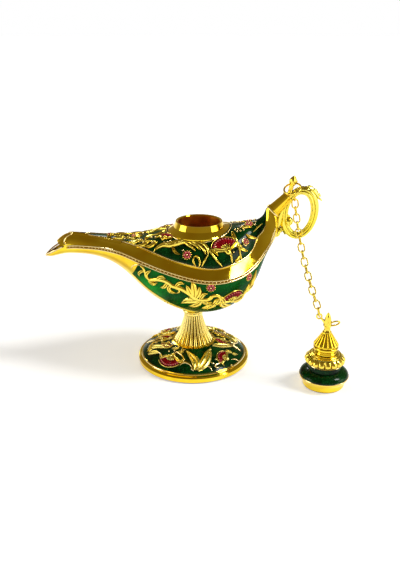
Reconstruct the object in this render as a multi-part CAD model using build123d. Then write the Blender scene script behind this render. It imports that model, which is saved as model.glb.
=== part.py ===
from build123d import *
import math
import os

# A genie oil lamp in enamelled and gilt cast metal, in millimetres.
# The origin is the centre of the foot where it meets the table. +X runs to the handle,
# -X to the spout, +Z is up. The lid stands on the table in front of the handle, on its chain.

# body
spout_reach = 63.7  # foot axis to the tip of the lower lip
tail_reach = 34.6  # foot axis to the top of the tail
body_half_width = 25.0
seam_height = 47.2  # lowest height of the seam between the two halves
seam_lift = 20.7  # climb of the seam from there to the tail's end
dome_rise = 15.5  # seam to the top of the dome
hull_depth = 22.0  # seam to the underside of the bowl
wall = 1.3
enamel_depth = 0.5
enamel_margin = 0.7  # gold line left between the enamel and an edge
parting_drop = 0.4  # the halves part just under the band's lower edge
keel_half_width = 1.6  # gold strip along the bottom of the hull
fit_gap = 0.05  # soldered and pressed joints
overrun = 3.0  # how far a cutter passes what it cuts

# spout mouth
notch_share = 0.854  # of the spout's reach, at the corner where the two lips part
upper_lip_share = 0.909  # of the spout's reach
upper_lip_rise = 9.0  # above the lowest height of the seam

# collar
collar_centre_x = 2.56
collar_stand = 2.2  # the collar's top above the dome
collar_bore_r = 9.0
collar_rim_r = 9.9
collar_wall_r = 10.8
collar_wall_height = 2.2
collar_skirt_r = 13.7
collar_skirt_height = 2.1
collar_skirt_lip = 0.5
collar_spigot_wall = 1.2
collar_spigot_depth = 8.0
collar_chamfer = 0.3

# foot and stem
foot_r = 25.0
foot_rim_height = 2.9
foot_rim_width = 1.3
foot_rim_round = 0.6
foot_wall = 1.4
foot_enamel_edge_height = 3.1
foot_rise_share = 1.0  # slope of the foot's curve at the rim, then at the hub
hub_rise_share = 0.18
stem_foot_z = 9.2  # where the reeds end on the foot
stem_base_r = 9.2
stem_mid_r = 5.5
stem_mid_share = 0.476  # of the reeds' height
stem_neck_r = 3.9
stem_neck_share = 0.881
stem_top_r = 4.7
stem_seat_drop = 0.8  # the seat on the stem below the bowl's underside
stem_ring_height = 1.2
stem_neck_band = 1.4
stem_band_r = 4.1  # plain band over the reeds' upper ends
reed_count = 24
reed_depth_share = 0.07
screw_r = 1.5
screw_hole_r = 1.65
screw_head_r = 3.0
screw_head_height = 2.2
screw_socket_r = 1.3
screw_socket_depth = 1.2
washer_r = 3.6
washer_height = 0.6
boss_r = 3.4
boss_height = 6.0
boss_floor = 1.2  # metal left above the threaded hole

# tail, finial and handle
tail_r = 2.8
tail_end_r = 2.35
tail_tube_length = 9.2
tail_tilt = 45.0
ferrule_r = 3.15
ferrule_length = 1.1
end_rim_r = 2.65
end_rim_length = 0.8
finial_tilt = 77.0
finial_base_r = 1.4
finial_neck_r = 1.05
finial_neck_length = 5.4
bud_belly_share = 0.35  # of the bud's length, where it is widest
bud_tip_share = 0.7
bud_tip_r_share = 0.6
bud_r = 1.7
bud_length = 3.7
petal_r = 0.8
petal_reach = 1.6
handle_out = 10.4  # the handle's middle past the tail's end, and above it
handle_rise = 0.3
handle_half_height = 11.6
handle_half_width = 7.9
handle_lean = 7.0
handle_bar = 3.0
handle_depth = 4.0
handle_round = 1.1
ball_out = 5.0  # past the tail's end, and below it
ball_drop = 3.7
ball_r = 2.3
leaf_reach = 1.6  # crest of the leaf above the handle's outer edge
leaf_span = 5.0
knob_out = 1.0
knob_drop = 8.6
knob_r = 1.7
curl_r = 1.4  # neck of metal from the knob on the body to the ball
leaf_along_share = 0.55
leaf_out_share = 0.84

# chain
ring_r = 3.5
ring_wire_r = 0.4
ring_turn = 17.0  # the ring's right side stands this much higher
ring_dip = 23.0  # its front hangs this much lower
ring_up_neck_share = 0.8
ring_neck_gap = 0.3
link_wire_r = 0.3
link_length = 3.74  # along the middle of the wire
link_width = 2.5
link_gap = 0.09
chain_slack = 1.12  # length of the chain over the drop that it spans
chain_heading = -61.8  # plan direction of the chain from the handle
chain_lean_spread = 13.0
last_link_lean = 18.0

# lid
plug_r = 8.8
plug_taper = 0.25
plug_height = 3.9
plug_wall = 1.2
flange_r = 10.2
flange_height = 0.6
core_r = 6.2
core_top = 10.5
core_roof = 1.5
lid_enamel_r = 10.35
lid_enamel_height = 3.2
lid_waist_r = 7.0
lid_bulge_share = 0.25  # outward lean of the enamel's curve at the flange
lid_waist_rise_share = 0.35
disc_r = 8.5
disc_low_r = 7.7
disc_edge_height = 1.7
disc_height = 4.2
disc_top_r = 4.9
disc_lobes = 20
disc_lobe_share = 0.07
bell_foot_r = 4.5
bell_foot_height = 2.0
bell_r = 5.2
bell_waist_r = 3.3
bell_waist_height = 7.0
bell_top_r = 1.9
bell_height = 9.7
bell_step = 4.2
bell_facets = 12
lid_bud_r = 1.75
lid_bud_height = 8.6
lid_bud_belly_share = 0.45
lid_neck_r = 1.45
lid_neck_height = 1.6
eye_r = 1.45
eye_hole_r = 0.75
eye_thickness = 0.8
eye_reach = 3.7
eye_height = 31.3
side_petal_reach = 5.0
side_petal_height = 28.2
side_petal_width = 2.2
side_petal_bend_share = 0.6

# Stations of the body from the lip's tip to the tail's end, in shares: how far along,
# the seam's height, then half width, dome height, hull depth, half width and height of
# the enamel field's edge. The last two are the plane's tilt and the roundness of the band.
station_shares = [
    (-1.000, 0.116, 0.036, 0.032, 0.023, 0.020, 0.013, 0, 0.12),
    (-0.967, 0.198, 0.136, 0.103, 0.095, 0.048, 0.077, 0, 0.15),
    (-0.910, 0.300, 0.200, 0.206, 0.159, 0.088, 0.142, 0, 0.18),
    (-0.848, 0.386, 0.196, 0.258, 0.209, 0.060, 0.226, 0, 0.20),
    (-0.785, 0.401, 0.208, 0.265, 0.223, 0.040, 0.245, 0, 0.20),
    (-0.722, 0.406, 0.240, 0.232, 0.236, 0.052, 0.213, 0, 0.17),
    (-0.597, 0.411, 0.344, 0.187, 0.318, 0.112, 0.148, 0, 0.11),
    (-0.471, 0.377, 0.488, 0.206, 0.495, 0.212, 0.148, 0, 0.06),
    (-0.345, 0.275, 0.648, 0.335, 0.764, 0.384, 0.206, 0, 0.03),
    (-0.204, 0.164, 0.816, 0.639, 0.973, 0.592, 0.219, 0, 0),
    (-0.063, 0.068, 0.936, 0.877, 1.041, 0.736, 0.213, 0, 0),
    (0.145, 0.005, 1.000, 0.994, 1.009, 0.828, 0.213, 0, 0),
    (0.405, 0.000, 0.936, 1.000, 0.900, 0.768, 0.226, 3, 0),
    (0.613, 0.043, 0.728, 0.994, 0.659, 0.568, 0.265, 8, 0),
    (0.757, 0.145, 0.512, 0.929, 0.364, 0.376, 0.303, 16, 0),
    (0.855, 0.300, 0.348, 0.794, 0.164, 0.240, 0.361, 25, 0.03),
    (0.948, 0.512, 0.240, 0.606, 0.100, 0.168, 0.335, 36, 0.06),
    (1.000, 0.754, 0.176, 0.439, 0.095, 0.088, 0.335, 45, 0.10),
    (1.000, 1.000, 0.096, 0.279, 0.060, 0.064, 0.247, 45, 0.14),
]
first_closed_station = 3  # the mouth's root
last_hollow_station = 15
last_enamel_station = 17
first_enamel_station = 5
first_panel_station = 8  # the hull's enamel starts here, under the seam
oval_steps = 8  # points round each half oval
# The hull's enamel seen from the side: shares of the reach and of the hull's depth.
hull_panel_shares = [(-0.40, -0.10), (-0.30, -0.36), (-0.16, -0.62), (0.06, -0.88)]


# heights that follow the body
collar_top = seam_height + dome_rise + collar_stand
stem_top_z = seam_height - hull_depth - stem_seat_drop
tail_end_z = seam_height + seam_lift


def station(index):
    share_x, share_z, half, top, bottom, field, edge, tilt, bulge = station_shares[index]
    reach = spout_reach if share_x < 0 else tail_reach
    return dict(
        x=share_x * reach,
        z=seam_height + share_z * seam_lift,
        half=half * body_half_width,
        top=top * dome_rise,
        bottom=bottom * hull_depth,
        field=field * body_half_width,
        edge=edge * dome_rise,
        tilt=tilt,
        bulge=bulge,
    )


def section_plane(s):
    lean = math.radians(s["tilt"])
    return Plane(
        origin=(s["x"], 0, s["z"]),
        x_dir=(0, 1, 0),
        z_dir=(math.cos(lean), 0, math.sin(lean)),
    )


def even_spline(points):
    """A spline that meets its points at even parameters, so that stations loft without a twist."""
    last = len(points) - 1
    return Edge.make_spline(points, parameters=[i / last for i in range(last + 1)])


def half_oval(plane, half, base, height):
    """The half oval from +half to -half that stands height above or below base."""
    points = []
    for i in range(oval_steps + 1):
        turn = math.pi * i / oval_steps
        points.append(Vector(half * math.cos(turn), base + height * math.sin(turn)))
    return plane.from_local_coords(even_spline(points))


def band(plane, start, end, bulge):
    """The gold band between the seam and the enamel field, rounded outwards by its bulge."""
    middle = (start + end) / 2
    chord = end - start
    outward = Vector(chord.Y, -chord.X) * bulge
    if outward.dot(Vector(start.X, 0)) < 0:
        outward = outward * -1
    return plane.from_local_coords(even_spline([start, middle + outward, end]))


def body_section(index, inset=0):
    s = station(index)
    plane = section_plane(s)
    draw_in = inset + enamel_margin if inset else 0
    half, field = s["half"] - inset, max(s["field"] - draw_in, s["field"] / 3)
    edge, top, bottom = s["edge"] - inset, s["top"] - inset, s["bottom"] - inset
    edges = [
        half_oval(plane, half, 0, -bottom),
        band(plane, Vector(-half, 0), Vector(-field, edge), s["bulge"]),
        half_oval(plane, -field, edge, top - edge),
        band(plane, Vector(field, edge), Vector(half, 0), s["bulge"]),
    ]
    return Wire(edges)


def body_form(inset=0, first=0, last=len(station_shares) - 1):
    """The body's form, drawn in by the inset."""
    return Solid.make_loft([body_section(i, inset) for i in range(first, last + 1)])


def side_prism(points, near=-body_half_width - overrun, far=body_half_width + overrun):
    """A prism across the lamp, from an outline seen from the side."""
    face = Face(Wire.make_polygon([Vector(x, near, z) for x, z in points], close=True))
    return Solid.extrude(face, Vector(0, far - near, 0))


def seam_points(drop):
    points = []
    for i in range(len(station_shares)):
        s = station(i)
        lean = math.radians(s["tilt"])
        points.append((s["x"] + drop * math.sin(lean), s["z"] - drop * math.cos(lean)))
    return points


def below_seam():
    """Everything under the line where the two halves of the body part."""
    near = -body_half_width - overrun
    points = seam_points(parting_drop)
    line = Edge.make_spline([Vector(x, near, z) for x, z in points])
    start, end = line @ 0, line @ 1
    past_end = end + (line % 1) * overrun
    past_start = start - Vector(overrun, 0, 0)
    corners = [end, past_end, Vector(past_end.X + body_half_width, near, past_end.Z)]
    corners += [Vector(past_end.X + body_half_width, near, 0), Vector(past_start.X, near, 0)]
    corners += [past_start, start]
    lines = [Edge.make_line(a, b) for a, b in zip(corners, corners[1:])]
    face = Face(Wire([line] + lines))
    return Solid.extrude(face, Vector(0, -2 * near, 0))


def upright_turn(profile):
    """A solid of revolution about Z from (radius, height) points."""
    face = Face(Wire.make_polygon([Vector(r, 0, z) for r, z in profile], close=True))
    return Solid.revolve(face, 360, Axis.Z)


def upright_cylinder(radius, low, high, x=0, y=0):
    plane = Plane(origin=(x, y, low))
    return Solid.make_cylinder(radius, high - low, plane)


def lobed_wire(z, radius, share, count):
    """A closed ring of convex lobes at height z, with its crests on the radius."""
    inner_r = radius * (1 - share)
    step = 2 * math.pi / count
    edges = []
    for i in range(count):
        a, b = i * step, (i + 1) * step
        middle = (a + b) / 2
        start = Vector(inner_r * math.cos(a), inner_r * math.sin(a), z)
        end = Vector(inner_r * math.cos(b), inner_r * math.sin(b), z)
        crest = Vector(radius * math.cos(middle), radius * math.sin(middle), z)
        edges.append(Edge.make_three_point_arc(start, crest, end))
    return Wire(edges)


outer = body_form()
hollow = body_form(wall, 1, last_hollow_station)
enamel_floor = body_form(enamel_depth, 1, len(station_shares) - 2)
casting = outer - hollow
lower_half = below_seam()


def mouth_cut():
    """The open side of the spout between and beyond its two lips."""
    notch_z = seam_height + station_shares[first_closed_station][1] * seam_lift
    high, low = notch_z + body_half_width, seam_height - overrun
    beyond = spout_reach + overrun
    notch_x, lip_x = -spout_reach * notch_share, -spout_reach * upper_lip_share
    points = [(notch_x, low), (notch_x, notch_z), (lip_x, seam_height + upper_lip_rise)]
    points += [(lip_x, high), (-beyond, high), (-beyond, low)]
    return side_prism(points)


def dome_field():
    """Where the dome's enamel lies: inside the band, and round the metal under the collar."""
    edge = []
    for i in range(first_enamel_station, last_enamel_station + 1):
        s = station(i)
        lean = math.radians(s["tilt"])
        edge.append((s["x"] - s["edge"] * math.sin(lean), s["field"] - enamel_margin))
    high = seam_height + seam_lift + dome_rise
    front = Edge.make_spline([Vector(x, -y, seam_height) for x, y in edge])
    back = Edge.make_spline([Vector(x, y, seam_height) for x, y in edge[::-1]])
    ends = [Edge.make_line(front @ 1, back @ 0), Edge.make_line(back @ 1, front @ 0)]
    outline = Face(Wire([front, ends[0], back, ends[1]]))
    field = Solid.extrude(outline, Vector(0, 0, high - seam_height))
    skirt = upright_cylinder(collar_skirt_r - enamel_margin, 0, high, collar_centre_x)
    return field - skirt - enamel_floor - lower_half


def hull_panel(side):
    """Where the hull's enamel lies on one side: -1 is the front and +1 the back."""
    points = []
    for share_x, share_z in hull_panel_shares:
        reach = spout_reach if share_x < 0 else tail_reach
        points.append((share_x * reach, seam_height + share_z * hull_depth))
    top = []
    for i in range(first_panel_station, last_enamel_station):
        s = station(i)
        lean = math.radians(s["tilt"])
        drop = enamel_margin + parting_drop
        top.append((s["x"] + drop * math.sin(lean), s["z"] - drop * math.cos(lean)))
    low = seam_height - hull_depth - overrun
    corner = (tail_reach + body_half_width, top[-1][1])
    outline = points + [(0, low), (corner[0], low), corner] + top[::-1]
    near, far = keel_half_width, body_half_width + overrun
    prism = side_prism(outline, *((near, far) if side > 0 else (-far, -near)))
    seat = upright_cylinder(stem_top_r + enamel_margin, 0, seam_height)
    return prism - enamel_floor - seat


def boss():
    """The threaded post inside the hull, with its flat seat for the stem outside."""
    inner_floor = seam_height - hull_depth + wall
    post = upright_cylinder(boss_r, stem_top_z, inner_floor + boss_height)
    return post + (upright_cylinder(stem_top_r, stem_top_z, inner_floor) - enamel_floor)


def screw_top():
    """Height of the screw's end, inside the boss."""
    return seam_height - hull_depth + wall + boss_height - boss_floor


def lower_shell():
    shell = casting & lower_half
    shell -= hull_panel(-1)
    shell -= hull_panel(1)
    shell += boss()
    return shell - upright_cylinder(screw_r, stem_top_z - overrun, screw_top())


def upper_shell():
    shell = casting - lower_half - mouth_cut() - dome_field()
    low, high = collar_top - collar_spigot_depth - overrun, collar_top
    hole_r = collar_bore_r + collar_spigot_wall
    return shell - upright_cylinder(hole_r, low, high, collar_centre_x)


def collar():
    wall_foot = collar_top - collar_wall_height
    skirt_foot = wall_foot - collar_skirt_height
    low = collar_top - collar_spigot_depth
    spigot_r = collar_bore_r + collar_spigot_wall - fit_gap
    flare = upright_turn([
        (collar_bore_r, collar_top - collar_chamfer),
        (collar_bore_r + collar_chamfer, collar_top),
        (collar_rim_r, collar_top),
        (collar_wall_r, wall_foot),
        (collar_skirt_r - collar_skirt_lip, skirt_foot + collar_skirt_lip),
        (collar_skirt_r, skirt_foot),
        (collar_skirt_r, skirt_foot - collar_skirt_height),
        (collar_bore_r, skirt_foot - collar_skirt_height),
    ]).moved(Location((collar_centre_x, 0, 0)))
    spigot = upright_cylinder(spigot_r, low, wall_foot, collar_centre_x)
    bore = upright_cylinder(collar_bore_r, low - overrun, wall_foot + overrun, collar_centre_x)
    return (flare - outer) + (spigot - bore)


def foot():
    """A dished casting, hollow underneath, with a flat hub for the stem and a rim to stand on."""
    top_edge = foot_enamel_edge_height
    outside = half_arch(foot_r - foot_rim_width, top_edge, stem_base_r, stem_foot_z)
    inside = half_arch(foot_r - foot_rim_width - foot_wall, 0, stem_base_r, stem_foot_z - foot_wall)
    rim = [
        Vector(foot_r - foot_rim_width, 0, top_edge),
        Vector(foot_r - foot_rim_round, 0, foot_rim_height),
        Vector(foot_r, 0, foot_rim_height - foot_rim_round),
        Vector(foot_r, 0, foot_rim_round),
        Vector(foot_r - foot_rim_round, 0, 0),
        Vector(foot_r - foot_rim_width - foot_wall, 0, 0),
    ]
    edges = [Edge.make_line(a, b) for a, b in zip(rim, rim[1:])]
    hub_top = [outside @ 1, Vector(0, 0, stem_foot_z)]
    hub_low = [Vector(0, 0, stem_foot_z - foot_wall), inside @ 1]
    edges += [outside, Edge.make_line(*hub_top), Edge.make_line(hub_top[1], hub_low[0])]
    edges += [Edge.make_line(*hub_low), inside]
    body = Solid.revolve(Face(Wire(edges)), 360, Axis.Z)
    body -= foot_field(foot_rim_height)
    return body - upright_cylinder(screw_hole_r, 0, stem_top_z)


def half_arch(start_r, start_z, end_r, end_z):
    """The foot's curve in the XZ plane: steep at the rim and flat at the hub."""
    start, end = Vector(start_r, 0, start_z), Vector(end_r, 0, end_z)
    ways = [Vector(-1, 0, foot_rise_share), Vector(-1, 0, hub_rise_share)]
    return Edge.make_spline([start, end], tangents=ways)


def foot_field(rise):
    """The ring of enamel on the foot, from rise above it to its floor."""
    outer_r = foot_r - foot_rim_width - enamel_margin
    hub_r = stem_base_r + enamel_margin
    top_edge = foot_enamel_edge_height
    curve = half_arch(foot_r - foot_rim_width, top_edge, stem_base_r, stem_foot_z)
    low = curve.moved(Location((0, 0, -enamel_depth)))
    high = curve.moved(Location((0, 0, rise)))
    sides = [Edge.make_line(high @ 1, low @ 1), Edge.make_line(low @ 0, high @ 0)]
    ring = Solid.revolve(Face(Wire([high, low] + sides)), 360, Axis.Z)
    ring &= upright_cylinder(outer_r, 0, stem_top_z)
    return ring - upright_cylinder(hub_r, 0, stem_top_z)


def foot_enamel():
    return foot_field(0)


def stem():
    """A reeded horn between the foot and the bowl, with a plain band and ring at its top."""
    neck_top = stem_top_z - stem_ring_height
    band_low = neck_top - stem_neck_band
    reed_height = band_low - stem_foot_z
    levels = [
        (stem_foot_z, stem_base_r),
        (stem_foot_z + reed_height * stem_mid_share, stem_mid_r),
        (stem_foot_z + reed_height * stem_neck_share, stem_neck_r),
        (band_low, stem_neck_r),
    ]
    wires = [lobed_wire(z, r, reed_depth_share, reed_count) for z, r in levels]
    horn = Solid.make_loft(wires)
    top = upright_turn([
        (0, band_low),
        (stem_band_r, band_low),
        (stem_band_r, neck_top),
        (stem_top_r, neck_top + stem_ring_height / 2),
        (stem_top_r, stem_top_z),
        (0, stem_top_z),
    ])
    bore = upright_cylinder(screw_hole_r, stem_foot_z - overrun, stem_top_z + overrun)
    return horn + top - bore


def foot_screw():
    """A long screw from under the foot, through the stem, into the bowl."""
    seat = stem_foot_z - foot_wall - washer_height
    head = upright_cylinder(screw_head_r, seat - screw_head_height, seat)
    shank = upright_cylinder(screw_r, seat, screw_top())
    socket = lobed_wire(seat - screw_head_height, screw_socket_r, 0, 6)
    hexagon = [socket.edges()[i] @ 0 for i in range(6)]
    recess = Face(Wire.make_polygon(hexagon, close=True))
    return head + shank - Solid.extrude(recess, Vector(0, 0, screw_socket_depth))


def foot_washer():
    seat = stem_foot_z - foot_wall
    ring = upright_cylinder(washer_r, seat - washer_height, seat)
    return ring - upright_cylinder(screw_hole_r, 0, seat + overrun)


def tail_plane():
    """The end face of the body at the tail, with Z along the tube and its origin at the middle."""
    s = station(len(station_shares) - 1)
    plane = section_plane(s)
    middle = (s["top"] - s["bottom"]) / 2
    return Plane(origin=plane.from_local_coords((0, middle, 0)), x_dir=(0, 1, 0), z_dir=plane.z_dir)


def turned(plane, profile):
    """A solid of revolution about a plane's Z from (radius, height) points."""
    return plane.from_local_coords(upright_turn(profile))


def tail_tube():
    end = tail_tube_length
    return turned(tail_plane(), [
        (0, 0),
        (ferrule_r, 0),
        (ferrule_r, ferrule_length),
        (tail_r, ferrule_length),
        (tail_end_r, end - end_rim_length),
        (end_rim_r, end - end_rim_length),
        (end_rim_r, end),
        (0, end),
    ])


def finial_plane():
    base = tail_plane()
    lean = math.radians(finial_tilt)
    foot_point = base.from_local_coords((0, 0, tail_tube_length))
    return Plane(origin=foot_point, x_dir=(0, 1, 0), z_dir=(math.cos(lean), 0, math.sin(lean)))


def petal(plane, height, turn):
    """A small pointed petal that opens outwards from the bud."""
    side, up = petal_reach, petal_reach
    start = Plane(origin=plane.from_local_coords((0, 0, height)), x_dir=plane.x_dir, z_dir=plane.z_dir)
    start = start.rotated((0, 0, turn))
    tip = start.from_local_coords((side, 0, up))
    axis = (tip - start.origin).normalized()
    base = Plane(origin=start.origin, z_dir=axis)
    reach = (tip - start.origin).length
    return turned(base, [(0, 0), (petal_r, reach / 2), (0, reach + petal_r / 2)])


def tail_finial():
    plane = finial_plane()
    bud_foot = finial_neck_length
    body = turned(plane, [
        (0, -finial_base_r),
        (finial_base_r, -finial_base_r),
        (finial_base_r, finial_base_r / 2),
        (finial_neck_r, finial_base_r),
        (finial_neck_r, bud_foot),
        (bud_r, bud_foot + bud_length * bud_belly_share),
        (bud_r * bud_tip_r_share, bud_foot + bud_length * bud_tip_share),
        (0, bud_foot + bud_length),
    ])
    for turn in (90, 210, 330):
        body += petal(plane, bud_foot, turn)
    return body - tail_tube()


def handle():
    """A scrolled loop behind the tail, with a ball at its curl and a leaf on its crest."""
    lean = math.radians(90 - handle_lean)
    side = Plane(
        origin=(tail_reach + handle_out, handle_depth / 2, tail_end_z + handle_rise),
        x_dir=(math.cos(lean), 0, math.sin(lean)),
        z_dir=(0, -1, 0),
    )
    loop = Wire.make_ellipse(handle_half_height, handle_half_width)
    hole = Wire.make_ellipse(handle_half_height - handle_bar, handle_half_width - handle_bar)
    ring = Solid.extrude(Face(loop, [hole]), Vector(0, 0, handle_depth))
    ring = ring.fillet(handle_round, ring.edges())
    ring = side.from_local_coords(ring)
    leaf_x, leaf_z = handle_half_height * leaf_along_share, -handle_half_width * leaf_out_share
    leaf = Wire.make_polygon([
        Vector(leaf_x - leaf_span / 2, leaf_z),
        Vector(leaf_x + leaf_span / 2, leaf_z + leaf_reach),
        Vector(leaf_x, leaf_z - leaf_reach),
    ], close=True)
    leaf_low = handle_depth / 4
    crest = Solid.extrude(Face(leaf), Vector(0, 0, handle_depth / 2)).moved(Location((0, 0, leaf_low)))
    ring += side.from_local_coords(crest)
    ball = Vector(tail_reach + ball_out, 0, tail_end_z - ball_drop)
    knob = Vector(tail_reach + knob_out, 0, tail_end_z - knob_drop)
    curl = Plane(origin=knob, z_dir=ball - knob)
    ring += Solid.make_cylinder(curl_r, (ball - knob).length, curl)
    ring += Solid.make_sphere(ball_r, Plane(origin=ball), -90, 90, 360)
    ring += Solid.make_sphere(knob_r, Plane(origin=knob), -90, 90, 360)
    return ring - outer - tail_tube() - tail_finial()


def unit(x, y, z):
    return Vector(x, y, z).normalized()


def ring_axes():
    """The jump ring's sideways and forward directions; its front dips where the chain pulls."""
    turn, dip = math.radians(ring_turn), math.radians(ring_dip)
    across = unit(math.cos(turn), 0, math.sin(turn))
    forward = Vector(0, -math.cos(dip), -math.sin(dip))
    forward = (forward - across * across.dot(forward)).normalized()
    return across, forward


def ring_centre():
    """The ring hangs on the finial's neck, which stands just inside its back edge."""
    neck = finial_plane().from_local_coords((0, 0, finial_neck_length * ring_up_neck_share))
    across, forward = ring_axes()
    slip = ring_r - ring_wire_r - finial_neck_r / math.sin(math.radians(finial_tilt))
    return neck + forward * (slip - ring_neck_gap)


def ring_front():
    return ring_centre() + ring_axes()[1] * ring_r


def jump_ring():
    across, forward = ring_axes()
    plane = Plane(origin=ring_centre(), x_dir=across, z_dir=across.cross(forward))
    return Solid.make_torus(ring_r, ring_wire_r, plane)


def link_hold():
    """Two links' wires stand this far apart where one hangs on the other."""
    return 2 * link_wire_r + link_gap


def link_pitch():
    return link_length - link_hold()


def link_direction(lean):
    """Down the chain, from its lean off the vertical in degrees."""
    heading, angle = math.radians(chain_heading), math.radians(lean)
    level = math.sin(angle)
    return Vector(level * math.cos(heading), level * math.sin(heading), -math.cos(angle))


def joints_along(leans):
    """The point midway between two hooked wires at each link's head, then the eye's centre."""
    ring_hold = ring_wire_r + link_wire_r + link_gap
    start = ring_front() - link_direction(leans[0]) * (ring_hold - link_hold() / 2)
    points = [start]
    for lean in leans:
        points.append(points[-1] + link_direction(lean) * link_pitch())
    points[-1] += link_direction(leans[-1]) * (link_hold() / 2)
    return points


def chain_leans():
    """Each link's lean: the chain sags, and its last link hangs almost straight in the eye."""
    drop = ring_front().Z - eye_height
    pairs = round((chain_slack * drop / link_pitch() - 1) / 2)
    count = 2 * pairs + 1  # odd, so that the last link passes through the eye from the front

    def leans(middle):
        spread = [chain_lean_spread * (2 * i / (count - 2) - 1) for i in range(count - 1)]
        return [middle + s for s in spread] + [last_link_lean]

    low, high = 0, 89
    for _ in range(40):
        middle = (low + high) / 2
        end = joints_along(leans(middle))[-1]
        low, high = (middle, high) if end.Z < eye_height else (low, middle)
    return leans(middle)


def link_joints():
    return joints_along(chain_leans())


def link_plane(number, joint, lean):
    """A link's own plane: odd links stand across X, even links face the front."""
    down = link_direction(lean)
    side = (Vector(1, 0, 0) - down * down.X).normalized()
    normal = side if number % 2 else side.cross(down)
    middle = joint + down * (link_pitch() / 2)
    return Plane(origin=middle, x_dir=down, z_dir=normal)


def chain_link(number, joint, lean):
    """An oval wire link, as two straight sides and two half rounds."""
    plane = link_plane(number, joint, lean)
    bend = link_width / 2
    straight = link_length / 2 - bend
    corners = [(-straight, bend), (straight, bend), (straight, -bend), (-straight, -bend)]
    a, b, c, d = (plane.from_local_coords((x, y, 0)) for x, y in corners)
    right = plane.from_local_coords((straight + bend, 0, 0))
    left = plane.from_local_coords((-straight - bend, 0, 0))
    path = Wire([
        Edge.make_line(a, b),
        Edge.make_three_point_arc(b, right, c),
        Edge.make_line(c, d),
        Edge.make_three_point_arc(d, left, a),
    ])
    start = Plane(origin=a, z_dir=b - a)
    profile = Wire.make_circle(link_wire_r, start)
    return Solid.sweep(Face(profile), path)


def eye_point():
    return link_joints()[-1]


def lid_axis():
    """Where the lid's axis stands on the table: beside the eye that the chain holds."""
    eye = eye_point()
    return eye.X + eye_reach, eye.Y


def on_lid(part):
    x, y = lid_axis()
    return part.moved(Location((x, y, 0)))


def lid_base():
    """The hollow plug that fits the collar, its flange, and the post that the enamel rings."""
    outside = [
        (0, 0),
        (plug_r - plug_taper, 0),
        (plug_r, plug_height),
        (flange_r, plug_height),
        (flange_r, plug_height + flange_height),
        (core_r, plug_height + flange_height),
        (core_r, core_top),
        (0, core_top),
    ]
    inside = [
        (0, -overrun),
        (plug_r - plug_wall, -overrun),
        (plug_r - plug_wall, plug_height + flange_height - plug_wall),
        (core_r - plug_wall, plug_height + flange_height - plug_wall),
        (core_r - plug_wall, core_top - core_roof),
        (0, core_top - core_roof),
    ]
    hole = upright_cylinder(screw_hole_r, 0, core_top + overrun)
    return on_lid(upright_turn(outside) - upright_turn(inside) - hole)


def lid_enamel():
    """A rounded green ring over the flange, drawn in to a waist under the disc."""
    foot_z = plug_height + flange_height
    shoulder = foot_z + lid_enamel_height
    a = Vector(core_r + fit_gap, 0, foot_z)
    b = Vector(flange_r, 0, foot_z)
    c = Vector(lid_waist_r, 0, shoulder)
    d = Vector(lid_waist_r, 0, core_top)
    e = Vector(core_r + fit_gap, 0, core_top)
    ways = [Vector(lid_bulge_share, 0, 1), Vector(-1, 0, lid_waist_rise_share)]
    bulge = Edge.make_spline([b, c], tangents=ways)
    edges = [Edge.make_line(a, b), bulge, Edge.make_line(c, d), Edge.make_line(d, e)]
    edges.append(Edge.make_line(e, a))
    return on_lid(Solid.revolve(Face(Wire(edges)), 360, Axis.Z))


def disc_top():
    return core_top + disc_height


def lid_disc():
    """A disc with a gadrooned edge."""
    shoulder = core_top + (disc_edge_height + disc_height) / 2
    levels = [
        (core_top, disc_low_r, disc_lobe_share),
        (core_top + disc_edge_height, disc_r, disc_lobe_share),
        (shoulder, (disc_r + disc_top_r) / 2 + disc_height / 5, disc_lobe_share / 2),
        (disc_top(), disc_top_r, disc_lobe_share / 7),
    ]
    disc = Solid.make_loft([lobed_wire(z, r, share, disc_lobes) for z, r, share in levels])
    return on_lid(disc - upright_cylinder(screw_hole_r, 0, disc_top() + overrun))


def bell_wire(z, radius):
    corners = []
    for i in range(bell_facets):
        turn = 2 * math.pi * i / bell_facets
        corners.append(Vector(radius * math.cos(turn), radius * math.sin(turn), z))
    return Wire.make_polygon(corners, close=True)


def lid_bell():
    """A faceted bell on a round foot, with a blind threaded hole."""
    low = disc_top()
    foot_top = low + bell_foot_height
    levels = [
        (foot_top, bell_foot_r),
        (low + bell_step, bell_r),
        (low + bell_waist_height, bell_waist_r),
        (low + bell_height, bell_top_r),
    ]
    bell = Solid.make_loft([bell_wire(z, r) for z, r in levels], True)
    foot_ring = upright_turn([
        (0, low),
        (bell_foot_r, low),
        (bell_foot_r + collar_chamfer, low + bell_foot_height / 2),
        (bell_foot_r - collar_chamfer, foot_top),
        (0, foot_top),
    ])
    hole = upright_cylinder(screw_r, low - overrun, low + bell_step + bell_foot_height)
    return on_lid(bell + foot_ring - hole)


def lid_screw():
    seat = core_top - core_roof
    head = upright_cylinder(screw_head_r, seat - screw_head_height, seat)
    shank = upright_cylinder(screw_r, seat, disc_top() + bell_step)
    slot_half = screw_socket_r / 3
    slot = Solid.make_box(2 * screw_head_r, 2 * slot_half, screw_socket_depth)
    slot = slot.moved(Location((-screw_head_r, -slot_half, seat - screw_head_height)))
    return on_lid(head + shank - slot)


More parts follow.
